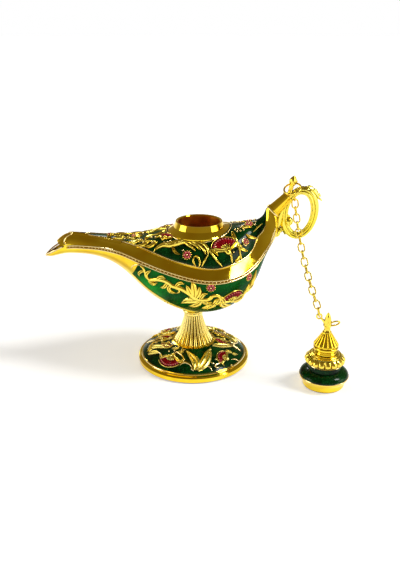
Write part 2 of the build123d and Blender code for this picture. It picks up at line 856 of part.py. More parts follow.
def lid_finial():
    """A bud with a leaf each side: the left one ends in the eye that the chain holds."""
    low = disc_top() + bell_height
    neck = low + lid_neck_height
    bud = upright_turn([
        (0, low),
        (bell_top_r, low),
        (bell_top_r, low + lid_neck_height / 3),
        (lid_neck_r, neck),
        (lid_bud_r, low + lid_bud_height * lid_bud_belly_share),
        (lid_bud_r * bud_tip_r_share, low + lid_bud_height * bud_tip_share),
        (0, low + lid_bud_height),
    ])
    bud = on_lid(bud)
    x, y = lid_axis()
    eye = eye_point()
    eye_corner = eye_r * math.sqrt(0.5)
    plane = Plane(origin=(x, y + eye_thickness / 2, 0), x_dir=(1, 0, 0), z_dir=(0, -1, 0))
    thick = Vector(0, -eye_thickness, 0)

    def blade(points):
        outline = [plane.from_local_coords((px, pz, 0)) for px, pz in points]
        return Solid.extrude(Face(Wire.make_polygon(outline, close=True)), thick)

    arm = blade([
        (0, neck),
        (-eye_reach - eye_corner, eye.Z - eye_corner),
        (-eye_reach + eye_corner, eye.Z + eye_corner),
        (0, neck + lid_bud_height / 3),
    ])
    leaf = blade([
        (0, neck),
        (side_petal_reach * side_petal_bend_share, side_petal_height - side_petal_width),
        (side_petal_reach, side_petal_height),
        (side_petal_reach * side_petal_bend_share, side_petal_height + side_petal_width / 4),
        (0, neck + lid_bud_height / 3),
    ])
    eye_plane = Plane(origin=(eye.X, eye.Y + eye_thickness / 2, eye.Z), z_dir=(0, -1, 0))
    disc = Solid.make_cylinder(eye_r, eye_thickness, eye_plane)
    through = Plane(origin=(eye.X, eye.Y + overrun, eye.Z), z_dir=(0, -1, 0))
    hole = Solid.make_cylinder(eye_hole_r, 2 * overrun, through)
    return bud + arm + leaf + disc - hole


def pieces():
    """Every node of the lamp by name."""
    parts = {
        "lower_shell": lower_shell(),
        "upper_shell": upper_shell(),
        "dome_enamel": outer & dome_field(),
        "hull_enamel_front": outer & hull_panel(-1),
        "hull_enamel_back": outer & hull_panel(1),
        "collar": collar(),
        "foot": foot(),
        "foot_enamel": foot_enamel(),
        "foot_screw": foot_screw(),
        "foot_washer": foot_washer(),
        "stem": stem(),
        "tail_tube": tail_tube(),
        "tail_finial": tail_finial(),
        "handle": handle(),
        "jump_ring": jump_ring(),
        "lid_base": lid_base(),
        "lid_enamel": lid_enamel(),
        "lid_disc": lid_disc(),
        "lid_bell": lid_bell(),
        "lid_screw": lid_screw(),
        "lid_finial": lid_finial(),
    }
    joints = link_joints()
    for number, lean in enumerate(chain_leans(), 1):
        parts["chain_link_%02d" % number] = chain_link(number, joints[number - 1], lean)
    return parts


os.makedirs("parts", exist_ok=True)
for name, part in pieces().items():
    export_step(part, "parts/" + name + ".step")
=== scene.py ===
import math

import bpy
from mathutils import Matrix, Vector
from mathutils.bvhtree import BVHTree


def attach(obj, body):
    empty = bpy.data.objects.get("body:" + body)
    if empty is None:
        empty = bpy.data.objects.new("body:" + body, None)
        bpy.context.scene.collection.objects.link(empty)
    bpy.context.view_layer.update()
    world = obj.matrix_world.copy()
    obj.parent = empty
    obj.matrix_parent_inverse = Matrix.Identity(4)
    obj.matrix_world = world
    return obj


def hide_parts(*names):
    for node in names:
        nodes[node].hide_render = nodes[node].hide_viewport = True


# A genie oil lamp: gold plated casting with soft enamel, its lid on a fine chain.
# Lengths are in millimetres until a piece is made, and angles are in degrees.

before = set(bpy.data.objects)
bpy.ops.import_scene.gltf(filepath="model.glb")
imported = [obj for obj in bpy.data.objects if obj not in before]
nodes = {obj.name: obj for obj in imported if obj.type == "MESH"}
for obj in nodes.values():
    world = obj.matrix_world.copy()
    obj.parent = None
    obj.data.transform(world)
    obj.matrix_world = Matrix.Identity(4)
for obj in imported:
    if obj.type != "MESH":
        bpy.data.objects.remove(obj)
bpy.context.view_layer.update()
mm = 0.001


# Colour and nodes

def srgb(hexValue):
    channels = [int(hexValue[i:i + 2], 16) / 255 for i in (1, 3, 5)]
    linear = [c / 12.92 if c <= 0.04045 else ((c + 0.055) / 1.055) ** 2.4 for c in channels]
    return linear + [1]


def perMm(size):
    # a texture scale whose features are this many millimetres across
    return 1 / (size * mm)


def addNode(tree, kind, inputs=None, **settings):
    # a node with its settings, its values and its links; a socket as a value is a link
    node = tree.nodes.new(kind)
    for key, value in settings.items():
        setattr(node, key, value)
    for key, value in (inputs or {}).items():
        if isinstance(value, bpy.types.NodeSocket):
            tree.links.new(value, node.inputs[key])
        else:
            node.inputs[key].default_value = value
    return node


def startMaterial(name):
    material = bpy.data.materials.new(name)
    material.use_nodes = True
    material.node_tree.nodes.clear()
    place = addNode(material.node_tree, "ShaderNodeTexCoord").outputs["Object"]
    return material, material.node_tree, place


def finishMaterial(tree, shader):
    addNode(tree, "ShaderNodeOutputMaterial", {"Surface": shader.outputs[0]})


def layColours(tree, colour, layers):
    # A layer is a pattern, the range of it that counts, the shares that range runs over, and
    # the colours at its low and high end, where None stands for the colour so far.
    for pattern, (fromLow, fromHigh), (toLow, toHigh), low, high in layers:
        share = addNode(tree, "ShaderNodeMapRange", {
            "Value": pattern, "From Min": fromLow, "From Max": fromHigh, "To Min": toLow, "To Max": toHigh})
        ends = {0: share.outputs[0], 6: low or colour, 7: high or colour}
        colour = addNode(tree, "ShaderNodeMix", ends, data_type="RGBA").outputs[2]
    return colour


noiseRange = (0.3, 0.7)  # nearly all of a noise texture lies in it
wholeShare = (0, 1)
cornerRays = 6

goldLook = {
    "bright": "#ffe242",
    "deep": "#f4c826",
    # painted shade: the brown that corners and places beside other parts darken to
    "tarnish": "#5a3a00",
    "toneSize": 9.0,  # mm between richer and paler patches of plate
    "castSize": 5.0,  # mm between the soft hollows that casting leaves
    "castDepth": 0.010,
    "grainSize": 0.35,  # polishing grain; the real one is too fine to show
    "grainDepth": 0.0006,
    "hazeSize": 2.5,  # mm between clearer and hazier patches
    "polish": (0.04, 0.11),  # roughness where the buff reached, and where it didn't
    "creviceReach": 0.9,
    "creviceRange": (0.25, 0.8),  # how open a corner is where it is all painted shade, and where it has none
}


def goldPlate(name, look, **changes):
    # zinc casting, buffed and gold plated: a warm mirror over soft casting hollows,
    # with a faint haze from buffing, and painted shade: a brown tone where corners, nearby parts and the
    # floor block the light
    look = {**look, **changes}
    material, tree, place = startMaterial(name)
    tone = addNode(tree, "ShaderNodeTexNoise", {"Vector": place, "Scale": perMm(look["toneSize"])})
    # painted shade: ambient occlusion darkens corners, places beside other parts and near the floor
    corner = addNode(tree, "ShaderNodeAmbientOcclusion", {"Distance": look["creviceReach"] * mm},
                     samples=cornerRays)
    colour = layColours(tree, srgb(look["bright"]), (
        (tone.outputs[0], noiseRange, wholeShare, srgb(look["deep"]), None),
        (corner.outputs["AO"], look["creviceRange"], wholeShare, srgb(look["tarnish"]), None)))
    haze = addNode(tree, "ShaderNodeTexNoise", {
        "Vector": place, "Scale": perMm(look["hazeSize"]), "Detail": 4})
    buffed, dull = look["polish"]
    rough = addNode(tree, "ShaderNodeMapRange", {
        "Value": haze.outputs[0], "From Min": noiseRange[0], "From Max": noiseRange[1],
        "To Min": buffed, "To Max": dull})
    cast = addNode(tree, "ShaderNodeTexNoise", {
        "Vector": place, "Scale": perMm(look["castSize"]), "Detail": 1})
    grain = addNode(tree, "ShaderNodeTexNoise", {"Vector": place, "Scale": perMm(look["grainSize"])})
    waves = addNode(tree, "ShaderNodeBump", {"Height": cast.outputs[0], "Distance": look["castDepth"] * mm})
    bump = addNode(tree, "ShaderNodeBump", {
        "Height": grain.outputs[0], "Distance": look["grainDepth"] * mm, "Normal": waves.outputs[0]})
    shader = addNode(tree, "ShaderNodeBsdfPrincipled", {
        "Base Color": colour, "Metallic": 1, "Roughness": rough.outputs[0], "Normal": bump.outputs[0]})
    finishMaterial(tree, shader)
    return material


enamelLook = {
    "body": "#009024",
    "deep": "#00300c",
    "cloudSize": 10.0,  # mm across the thinner and thicker patches of the flood
    "speckSize": 0.7,
    "speckRange": (0.4, 0.6),  # of the noise, from all speck to none
    "speckShare": 0.3,  # how much deeper the specks are
    "rippleSize": 3.0,
    "rippleDepth": 0.008,
    "edgeReach": 0.8,
    "edgeRange": (0.5, 1.0),  # how open an edge is where its painted shade is deepest, and where there is none
    "sheen": 0.04,
    "coat": 0.26,
    "coatBend": 1.4,  # IOR of the clear coat
    "coatRough": 0.03,
    "polish": (0.16, 0.28),  # roughness under the coat
    "glint": "#2a9a48",  # paler flakes of colour in the flood
    "glintSize": 0.45,
    "glintRange": (0.56, 0.72),  # of the noise, from no flake to a full one
    "glintShare": 0.35,
    "pool": None,  # painted light: a darker body colour, and the two x between which it brightens to the body colour
}


def floodedEnamel(name, look, **changes):
    # soft enamel flooded into the cells, cured, and finished with a clear coat: deep
    # colour under a wet gloss, with painted shade darker beside the raised metal
    look = {**look, **changes}
    material, tree, place = startMaterial(name)
    cloud = addNode(tree, "ShaderNodeTexNoise", {
        "Vector": place, "Scale": perMm(look["cloudSize"]), "Detail": 3})
    speck = addNode(tree, "ShaderNodeTexNoise", {
        "Vector": place, "Scale": perMm(look["speckSize"]), "Detail": 4})
    flakes = addNode(tree, "ShaderNodeTexNoise", {
        "Vector": place, "Scale": perMm(look["glintSize"]), "Detail": 2})
    # painted shade: ambient occlusion darkens the enamel beside the raised metal
    corner = addNode(tree, "ShaderNodeAmbientOcclusion", {"Distance": look["edgeReach"] * mm},
                     samples=cornerRays)
    body, deep, glint = srgb(look["body"]), srgb(look["deep"]), srgb(look["glint"])
    # painted light: the body colour darkens from one x to the other
    if look["pool"]:
        pooled, shadedX, litX = look["pool"]
        along = addNode(tree, "ShaderNodeSeparateXYZ", {0: place}).outputs[0]
        body = layColours(tree, body, [(along, (shadedX * mm, litX * mm), wholeShare, srgb(pooled), None)])
    colour = layColours(tree, body, (
        (cloud.outputs[0], noiseRange, wholeShare, deep, None),
        (speck.outputs[0], look["speckRange"], (1 - look["speckShare"], 1), deep, None),
        (flakes.outputs[0], look["glintRange"], (0, look["glintShare"]), None, glint),
        (corner.outputs["AO"], look["edgeRange"], wholeShare, deep, None)))
    ripple = addNode(tree, "ShaderNodeTexNoise", {
        "Vector": place, "Scale": perMm(look["rippleSize"]), "Detail": 1})
    bump = addNode(tree, "ShaderNodeBump", {
        "Height": ripple.outputs[0], "Distance": look["rippleDepth"] * mm})
    smooth, dull = look["polish"]
    rough = addNode(tree, "ShaderNodeMapRange", {
        "Value": cloud.outputs[0], "From Min": noiseRange[0], "From Max": noiseRange[1],
        "To Min": smooth, "To Max": dull})
    shader = addNode(tree, "ShaderNodeBsdfPrincipled", {
        "Base Color": colour, "Roughness": rough.outputs[0], "Specular IOR Level": look["sheen"],
        "Coat Weight": look["coat"], "Coat IOR": look["coatBend"], "Coat Roughness": look["coatRough"],
        "Normal": bump.outputs[0]})
    finishMaterial(tree, shader)
    return material


steelLook = {
    "bright": "#c9ccd0",
    "dark": "#8f9499",
    "toneSize": 1.2,
    "lineSize": 1.57,  # mm between the tool's rings, coarser than real so that they show
    "lineDepth": 0.004,
    "polish": (0.22, 0.4),
}
waveLength = 2 * math.pi / 20  # between a wave texture's lines at scale 1


def turnedSteel(name, look):
    # zinc plated steel, turned: fine rings round the shank and a dull bright plate
    material, tree, place = startMaterial(name)
    tone = addNode(tree, "ShaderNodeTexNoise", {
        "Vector": place, "Scale": perMm(look["toneSize"]), "Detail": 3})
    ends = {0: tone.outputs[0], 6: srgb(look["dark"]), 7: srgb(look["bright"])}
    colour = addNode(tree, "ShaderNodeMix", ends, data_type="RGBA").outputs[2]
    rings = addNode(tree, "ShaderNodeTexWave", {
        "Vector": place, "Scale": waveLength * perMm(look["lineSize"])}, bands_direction="Z")
    bump = addNode(tree, "ShaderNodeBump", {"Height": rings.outputs[1], "Distance": look["lineDepth"] * mm})
    smooth, dull = look["polish"]
    rough = addNode(tree, "ShaderNodeMapRange", {
        "Value": tone.outputs[0], "From Min": noiseRange[0], "From Max": noiseRange[1],
        "To Min": smooth, "To Max": dull})
    shader = addNode(tree, "ShaderNodeBsdfPrincipled", {
        "Base Color": colour, "Metallic": 1, "Roughness": rough.outputs[0], "Normal": bump.outputs[0]})
    finishMaterial(tree, shader)
    return material


# buffed faces: a warm mirror
polishedGold = goldPlate("polishedGoldPlate", goldLook)
# raised cast work that the buff only skims: softer shine, with painted shade brown in its corners
reliefGold = goldPlate("castGoldRelief", goldLook, bright="#ffec6a", deep="#f9d648", castSize=1.2,
                       castDepth=0.012, polish=(0.10, 0.22), creviceReach=0.6)
# wires and beads in a paler gold: painted highlight for the pale points of light they catch
paintedHighlightGold = goldPlate("paintedHighlightGoldBeads", goldLook, bright="#fff0b8", deep="#ffe08a", castSize=0.8,
                     castDepth=0.004, polish=(0.08, 0.18), creviceReach=0.3)
# a thinner flash of gold: paler and more lemon
handleGold = goldPlate("paleGoldPlate", goldLook, bright="#fff276", deep="#f4e044", creviceReach=0.4)
# the reeds: a cream gold that paints in the white floor's reflection, with painted shade dark between them
reedGold = goldPlate("creamGoldReeds", goldLook, bright="#ffef9c", deep="#fada58", tarnish="#7a5208",
                     castDepth=0.003, polish=(0.14, 0.22), creviceReach=0.55)
# cast work left satin, and painted paler as a highlight, so that it shows pale from above
satinGold = goldPlate("satinGoldRelief", goldLook, bright="#fff08c", deep="#fbe264", castSize=1.2,
                      castDepth=0.008, polish=(0.20, 0.32), creviceReach=0.5)
# the bore: dull orange, painted as the warm glow of light bouncing inside it, with painted shade in its
# corners
insideGold = goldPlate("paintedGlowBoreGold", goldLook, bright="#f0a02c", deep="#c87018", castSize=1.6,
                       castDepth=0.03, polish=(0.30, 0.5), creviceReach=1.0, tarnish="#9a4a10")
# a dark brown strip: painted shade standing for a groove
grooveGold = goldPlate("tarnishedGroove", goldLook, bright="#94690f", deep="#5e3d04", castSize=0.8,
                       castDepth=0.01, polish=(0.3, 0.5), creviceReach=0.4)
# a thin flood that lets the metal shine through: leaf green, with painted light brighter towards the spout
# and darker towards the tail
greenEnamel = floodedEnamel("greenSoftEnamel", enamelLook, body="#00bc34", deep="#003810", glint="#10c040",
                            sheen=0.02, coat=0.12, cloudSize=11.0, edgeReach=1.2,
                            pool=("#006e1e", -3.0, -17.0))
# a deep flood: bottle green, in random patches nearly black, and nearly black in painted shade beside the
# raised metal
thickGreen = floodedEnamel("thickGreenSoftEnamel", enamelLook, body="#004614", deep="#000602",
                           cloudSize=6.0, edgeReach=1.8, coat=0.26)
# small opaque cells of the flowers
redEnamel = floodedEnamel("redSoftEnamel", enamelLook, body="#b80c1c", deep="#640410", glint="#d83040",
                          cloudSize=1.5, rippleSize=1.0, rippleDepth=0.004, edgeReach=0.4)
pinkEnamel = floodedEnamel("pinkSoftEnamel", enamelLook, body="#ffa8a0", deep="#e05060", glint="#ffc8c0",
                           cloudSize=0.8, rippleSize=0.8, rippleDepth=0.003, edgeReach=0.3)
screwSteel = turnedSteel("turnedZincPlatedSteel", steelLook)
print("materials made")


# Shapes: lists of points and faces that a piece is made from

def newShape():
    return {"points": [], "faces": []}


def addGrid(shape, rows, closed=False):
    # skins rows of points; closed joins each row's last point to its first
    start, width = len(shape["points"]), len(rows[0])
    for row in rows:
        shape["points"].extend(row)
    across = width if closed else width - 1
    for i in range(len(rows) - 1):
        for j in range(across):
            a, b = start + i * width + j, start + i * width + (j + 1) % width
            shape["faces"].append((a, b, b + width, a + width))


def addCap(shape, ring, centre):
    start = len(shape["points"])
    shape["points"].extend(ring)
    shape["points"].append(centre)
    last = len(ring)
    for i in range(last):
        shape["faces"].append((start + i, start + (i + 1) % last, start + last))


def makePiece(name, shape, material, body="lamp", finish="gold", crease=40):
    mesh = bpy.data.meshes.new(name)
    mesh.from_pydata([Vector(p) * mm for p in shape["points"]], [], shape["faces"])
    mesh.materials.append(material)
    mesh.polygons.foreach_set("use_smooth", [True] * len(mesh.polygons))
    mesh.set_sharp_from_angle(angle=math.radians(crease))
    mesh.update()
    piece = bpy.data.objects.new(name, mesh)
    bpy.context.scene.collection.objects.link(piece)
    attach(piece, body)
    return piece


def smoothLine(points, steps):
    # a Catmull-Rom line through points of any number of coordinates
    ends = [points[0]] + list(points) + [points[-1]]
    line = []
    for i in range(1, len(ends) - 2):
        a, b, c, d = ends[i - 1:i + 3]
        for k in range(steps):
            t = k / steps
            line.append([
                0.5 * (2 * q + (r - p) * t + (2 * p - 5 * q + 4 * r - s) * t * t
                       + (3 * q - p - 3 * r + s) * t ** 3)
                for p, q, r, s in zip(a, b, c, d)])
    line.append(list(points[-1]))
    return line


def lathe(shape, profile, centre=(0, 0), count=96, swell=None):
    # turns a (radius, height) profile; swell(share of the turn, row) scales the radius
    rows = []
    for row, (radius, height) in enumerate(profile):
        ring = []
        for j in range(count):
            turn = 2 * math.pi * j / count
            r = radius * (swell(j / count, row) if swell else 1)
            ring.append(Vector((centre[0] + r * math.cos(turn), centre[1] + r * math.sin(turn), height)))
        rows.append(ring)
    addGrid(shape, rows, closed=True)


def sweep(shape, points, sizes, sideways, section, steps=6, closed=False):
    # carries a closed section along points; sizes are (across, deep) pairs
    line = smoothLine([tuple(p) + tuple(s) for p, s in zip(points, sizes)], steps)
    rows = []
    for i, values in enumerate(line):
        here = Vector(values[:3])
        after, before = line[min(i + 1, len(line) - 1)], line[max(i - 1, 0)]
        along = (Vector(after[:3]) - Vector(before[:3])).normalized()
        side = (Vector(sideways) - along * along.dot(Vector(sideways))).normalized()
        out = side.cross(along)
        rows.append([here + out * (u * values[3]) + side * (v * values[4]) for u, v in section])
    addGrid(shape, rows, closed=True)
    if not closed:
        for row, centre in ((rows[0], line[0]), (rows[-1], line[-1])):
            addCap(shape, row, Vector(centre[:3]))


def crest(share, count):
    # how high a round rib stands, 0 to 1, at a share of a turn that holds so many ribs
    phase = (share * count) % 1
    return math.sqrt(max(0, 1 - (2 * phase - 1) ** 2))


def roundSection(count=16, grooves=0, depthShare=0.0, sharpness=1):
    section = []
    for i in range(count):
        turn = 2 * math.pi * i / count
        r = 1 - depthShare * (0.5 - 0.5 * math.cos(grooves * turn)) ** sharpness
        section.append((r * math.cos(turn), r * math.sin(turn)))
    return section


def addBall(shape, centre, axis, radius, stretch=1.0, rings=8, count=14):
    # a ball about an axis, stretched along it
    axis = Vector(axis).normalized()
    side = axis.orthogonal().normalized()
    other = axis.cross(side)
    rows = []
    for i in range(rings + 1):
        tilt = math.pi * i / rings
        r, h = max(radius * math.sin(tilt), radius * 0.01), -radius * math.cos(tilt) * stretch
        rows.append([Vector(centre) + axis * h + (side * math.cos(t) + other * math.sin(t)) * r
                     for t in (2 * math.pi * j / count for j in range(count))])
    addGrid(shape, rows, closed=True)


def addRing(shape, centre, axis, radius, wire, count=40, sides=10):
    axis = Vector(axis).normalized()
    side = axis.orthogonal().normalized()
    other = axis.cross(side)
    rows = []
    for i in range(count + 1):
        turn = 2 * math.pi * i / count
        out = side * math.cos(turn) + other * math.sin(turn)
        rows.append([Vector(centre) + out * (radius + wire * math.cos(a)) + axis * (wire * math.sin(a))
                     for a in (2 * math.pi * j / sides for j in range(sides))])
    addGrid(shape, rows, closed=True)


# Places on the lamp's surfaces, from a side view or a plan

rayStart = {"side": 90.0, "above": 130.0, "patch": 4.0}  # how far off a ray starts
bodyHalf, bodyHeight = 12.0, 50.0  # a spot near the middle of the body's wall, for rays that miss


def surfaceOf(*names):
    points, faces = [], []
    for name in names:
        mesh, start = nodes[name].data, len(points)
        points.extend(v.co / mm for v in mesh.vertices)
        faces.extend([start + i for i in p.vertices] for p in mesh.polygons)
    return BVHTree.FromPolygons(points, faces)


def meet(surface, start, direction, guess):
    # where a ray meets a surface and the normal there, or the nearest place to a guess
    point, normal, face, reach = surface.ray_cast(start, direction)
    if point is None:
        point, normal, face, reach = surface.find_nearest(guess)
    return point, normal


def fromSide(surface, side):
    # a place for (x, z), seen from the front (-1) or the back (+1)
    def place(x, z):
        start = Vector((x, side * rayStart["side"], z))
        return meet(surface, start, Vector((0, -side, 0)), Vector((x, side * bodyHalf, z)))
    return place


def fromAbove(surface, flip=(1, 1), centre=(0, 0)):
    # a place for a plan point; a flip of -1 mirrors the design in x or y
    def place(x, y):
        x, y = flip[0] * x, flip[1] * y
        start = Vector((centre[0] + x, centre[1] + y, rayStart["above"]))
        return meet(surface, start, Vector((0, 0, -1)), Vector((x, y, bodyHeight)))
    return place


def onPatch(surface, point, normal, right, up):
    # a flower's own flat patch: u runs right and v runs up, seen along the surface's normal
    across = (Vector(right) - normal * normal.dot(Vector(right))).normalized()
    upward = normal.cross(across)
    if upward.dot(Vector(up)) < 0:
        upward.negate()

    def place(u, v):
        spot = point + across * u + upward * v
        return meet(surface, spot + normal * rayStart["patch"], -normal, spot)
    return place


# Half sections of raised strokes: across and up, as shares of half the width and of the height
wireSection = [(-1, -0.6), (-0.96, 0.25), (-0.72, 0.72), (-0.35, 0.95), (0, 1), (0.35, 0.95), (0.72, 0.72),
               (0.96, 0.25), (1, -0.6)]
leafSection = [(-1, -0.6), (-0.95, 0.35), (-0.7, 0.9), (-0.35, 0.95), (-0.12, 0.7), (0, 0.35), (0.12, 0.7),
               (0.35, 0.95), (0.7, 0.9), (0.95, 0.35), (1, -0.6)]
beadProfile = [(1, -0.4), (0.97, 0.3), (0.72, 0.75), (0.38, 0.95), (0.02, 1)]  # shares of radius and height
beadSides = 10
thinnest = 0.02
wireEndShare = 0.35
leafShares = {"stalk": 0.12, "run": 0.86, "fullness": 0.8}


def raiseStroke(shape, place, points, height, section, steps):
    # a raised stroke through (x, y, width) points; where it is thin it is low as well
    line = smoothLine(points, steps)
    widest = max(p[2] for p in points)
    found = [place(p[0], p[1]) for p in line]
    rows = []
    for i, (point, normal) in enumerate(found):
        along = (found[min(i + 1, len(found) - 1)][0] - found[max(i - 1, 0)][0]).normalized()
        side = normal.cross(along).normalized()
        width = max(line[i][2], thinnest) / 2
        lift = height * min(1, (2 * width / widest) ** 0.5)
        rows.append([point + side * (u * width) + normal * (v * lift) for u, v in section])
    addGrid(shape, rows)


def wire(shape, place, points, width, height, steps=5):
    # a raised wire with fine ends
    last = len(points) - 1
    sized = [(x, y, width * (wireEndShare if i in (0, last) else 1)) for i, (x, y) in enumerate(points)]
    raiseStroke(shape, place, sized, height, wireSection, steps)


def leaf(shape, place, points, width, height, steps=6):
    # a veined leaf that swells from its stalk and ends in a point
    sized = []
    for i, (x, y) in enumerate(points):
        along = leafShares["stalk"] + leafShares["run"] * i / (len(points) - 1)
        sized.append((x, y, width * math.sin(math.pi * along) ** leafShares["fullness"]))
    raiseStroke(shape, place, sized, height, leafSection, steps)


def bead(shape, place, x, y, radius, height):
    point, normal = place(x, y)
    side = normal.orthogonal().normalized()
    other = normal.cross(side)
    rows = []
    for r, h in beadProfile:
        row = []
        for j in range(beadSides):
            turn = 2 * math.pi * j / beadSides
            out = side * math.cos(turn) + other * math.sin(turn)
            row.append(point + normal * (h * height) + out * (r * radius))
        rows.append(row)
    addGrid(shape, rows, closed=True)


def fanPoints(aim, half, reach, count):
    for i in range(count):
        angle = math.radians(aim - half + 2 * half * i / (count - 1))
        yield reach * math.cos(angle), reach * math.sin(angle)


petalLook = {
    "rows": 8,
    "samples": 8,
    "scallopShare": 0.1,
    "ribShare": 0.55,
    "sink": 0.1,  # how far the edge goes into the metal
    "roundness": 0.35,
}


def petals(shape, place, aim, half, inner, outer, count, height):
    # a ribbed fan of petals with a scalloped edge, about its own patch's middle
    look, grid = petalLook, []
    last, fine = look["rows"], look["samples"] * count
    for k in range(last + 1):
        row = []
        for i in range(fine + 1):
            angle = math.radians(aim - half + 2 * half * i / fine)
            rib = abs(math.sin(math.pi * count * i / fine))
            edge = outer * (1 - look["scallopShare"] * (1 - rib))
            reach = inner + (edge - inner) * k / last
            point, normal = place(reach * math.cos(angle), reach * math.sin(angle))
            swell = math.sin(math.pi * k / last) ** look["roundness"] if 0 < k < last else 0
            ridge = height * (1 - look["ribShare"] * (1 - rib))
            row.append(point + normal * ((ridge + look["sink"]) * swell - look["sink"]))
        grid.append(row)
    addGrid(shape, grid)


# Lengths are shares of the flower's size, heights are in mm and angles in degrees
carnationLook = {
    "petals": (0.3, 0.55),  # where the red fan starts, and its height
    "rim": (0.1, 0.4, 0.5),  # mm outside the fan, width and height
    "rimPoints": 13,
    "beads": (0.84, 0.058, 0.75),  # how far out, size and height
    "beadInset": 6,
    "calyx": (0.1, 0.52, 5, 0.9),  # mm where it starts, where it ends, ribs and height
    "calyxShare": 0.75,  # of the fan's angle
    "sepal": (0.28, 0.7),
    "sepalAngles": (8, 34),  # past the fan's edge, at its root and at its tip
    "sepalReach": (0.5, 0.85, 1.05),
    "knob": (0.3, 0.2, 0.95),  # mm behind the middle, size and height
}


def carnation(kit, patch, aim, outer, half, count):
    # seen from its side: a scalloped red fan with beads near its edge, a gold calyx and sepals
    look = carnationLook
    inner, height = look["petals"]
    petals(kit["red"], patch, aim, half, outer * inner, outer, count, height)
    outside, width, height = look["rim"]
    rim = list(fanPoints(aim, half, outer + outside, look["rimPoints"]))
    wire(kit["gold"], patch, rim, width, height, steps=2)
    reach, size, height = look["beads"]
    for x, y in fanPoints(aim, half - look["beadInset"], outer * reach, count):
        bead(kit["pink"], patch, x, y, outer * size, height)
    inner, reach, ribs, height = look["calyx"]
    petals(kit["gold"], patch, aim, half * look["calyxShare"], inner, outer * reach, ribs, height)
    width, height = look["sepal"]
    for turn in (-1, 1):
        root, tip = (math.radians(aim + turn * (half + past)) for past in look["sepalAngles"])
        points = [(0, 0)]
        for share, angle in zip(look["sepalReach"], (root, root, tip)):
            points.append((outer * share * math.cos(angle), outer * share * math.sin(angle)))
        leaf(kit["gold"], patch, points, outer * width, height)
    behind, size, height = look["knob"]
    back = math.radians(aim + 180)
    bead(kit["gold"], patch, behind * math.cos(back), behind * math.sin(back), outer * size, height)


# A rosette's beads: colour, number, how far out and bead size as shares of its radius, and height
rosetteRings = [("red", 1, 0, 0.9, 0.3), ("pink", 6, 0.66, 0.3, 0.62), ("gold", 12, 1, 0.17, 0.4),
                ("pale", 1, 0, 0.26, 0.75)]


def rosette(kit, patch, radius):
    # a small open flower: pink petals on a red ground round a pale eye
    for colour, count, out, size, height in rosetteRings:
        for i in range(count):
            angle = 2 * math.pi * i / count
            x, y = out * radius * math.cos(angle), out * radius * math.sin(angle)
            bead(kit[colour], patch, x, y, size * radius, height)


def newKit():
    return {"gold": newShape(), "pale": newShape(), "red": newShape(), "pink": newShape()}


def addOrnament(kit, look, surface, place, right, up):
    # the leaves, flowers and beads of one design
    for points, width in look["leaves"]:
        leaf(kit["gold"], place, points, width, look["leafHeight"])
    for centre, aim, outer, half, count in look["carnations"]:
        carnation(kit, onPatch(surface, *place(*centre), right, up), aim, outer, half, count)
    for centre, radius in look["rosettes"]:
        rosette(kit, onPatch(surface, *place(*centre), right, up), radius)
    for x, y in look["beads"]:
        bead(kit["pale"], place, x, y, *look["beadSize"])


def makeKit(name, kit, body="lamp", gold=reliefGold):
    # the pale pieces take the painted highlight gold
    looks = {"gold": (gold, "gold"), "pale": (paintedHighlightGold, "gold"), "red": (redEnamel, "red_enamel"),
             "pink": (pinkEnamel, "red_enamel")}
    for key, (material, finish) in looks.items():
        if kit[key]["faces"]:
            makePiece(name + key.capitalize(), kit[key], material, body, finish)


# Finishes of the solids; what isn't named here has the cast relief's gold

finishes = {
    "lower_shell": polishedGold, "upper_shell": polishedGold, "collar": polishedGold, "foot": polishedGold,
    "tail_tube": polishedGold, "lid_base": polishedGold, "lid_bell": polishedGold,
    "dome_enamel": thickGreen, "foot_enamel": thickGreen, "lid_enamel": thickGreen,
    "hull_enamel_front": greenEnamel, "hull_enamel_back": greenEnamel,
    "foot_screw": screwSteel, "foot_washer": screwSteel, "lid_screw": screwSteel,
}
for name, piece in nodes.items():
    piece.data.materials.clear()
    piece.data.materials.append(finishes.get(name, reliefGold))
print("finishes set on the solids")

hull = surfaceOf("lower_shell", "upper_shell", "hull_enamel_front", "hull_enamel_back", "dome_enamel")
dome = surfaceOf("upper_shell", "dome_enamel")
footTop = surfaceOf("foot", "foot_enamel")
collarCentre = (2.56, 0.0)  # of its bore; the skirt round it reaches further to the spout


# Seam: two wires under the band, with a groove of painted shade and a row of dashes between them

seam = {
    # x and height of the seam, from the spout's root to the tail
    "line": [(-53.6, 55.2), (-50.0, 55.5), (-46.0, 55.6), (-38.0, 55.7), (-30.0, 55.0), (-22.0, 52.9),
             (-13.0, 50.6), (-4.0, 48.6), (5.0, 47.3), (14.0, 47.2), (21.2, 48.1), (26.2, 50.2),
             (29.6, 53.4), (32.8, 57.8), (34.6, 62.8)],
    "drops": (0.05, 1.25),  # of the two wires, below the seam
    "wire": (0.5, 0.25),
    "groove": (0.65, 0.8, 0.06),  # how far below the seam, width and height
    "dash": (0.65, 0.24, 0.22),  # how far below the seam, radius and height
    "dashSpacing": 1.25,
}


def makeSeam(look):
    trim, groove = newKit(), newShape()
    line = smoothLine(look["line"], 6)
    grooveDrop, grooveWidth, grooveHeight = look["groove"]
    dashDrop, dashRadius, dashHeight = look["dash"]
    for side in (-1, 1):
        place = fromSide(hull, side)
        for drop in look["drops"]:
            wire(trim["pale"], place, [(x, z - drop) for x, z in line[::3]], *look["wire"], steps=3)
        low = [(x, z - grooveDrop) for x, z in line[::3]]
        wire(groove, place, low, grooveWidth, grooveHeight, steps=3)
        travelled = 0.0
        for before, after in zip(line, line[1:]):
            travelled += math.dist(before, after)
            if travelled >= look["dashSpacing"]:
                travelled = 0.0
                bead(trim["pale"], place, after[0], after[1] - dashDrop, dashRadius, dashHeight)
    makeKit("seam", trim)
    # the groove is a low dark strip of painted shade
    makePiece("seamGroove", groove, grooveGold)


makeSeam(seam)
print("seam trim made")


# Hull: one gold scroll with leaves, a carnation and two rosettes on each side

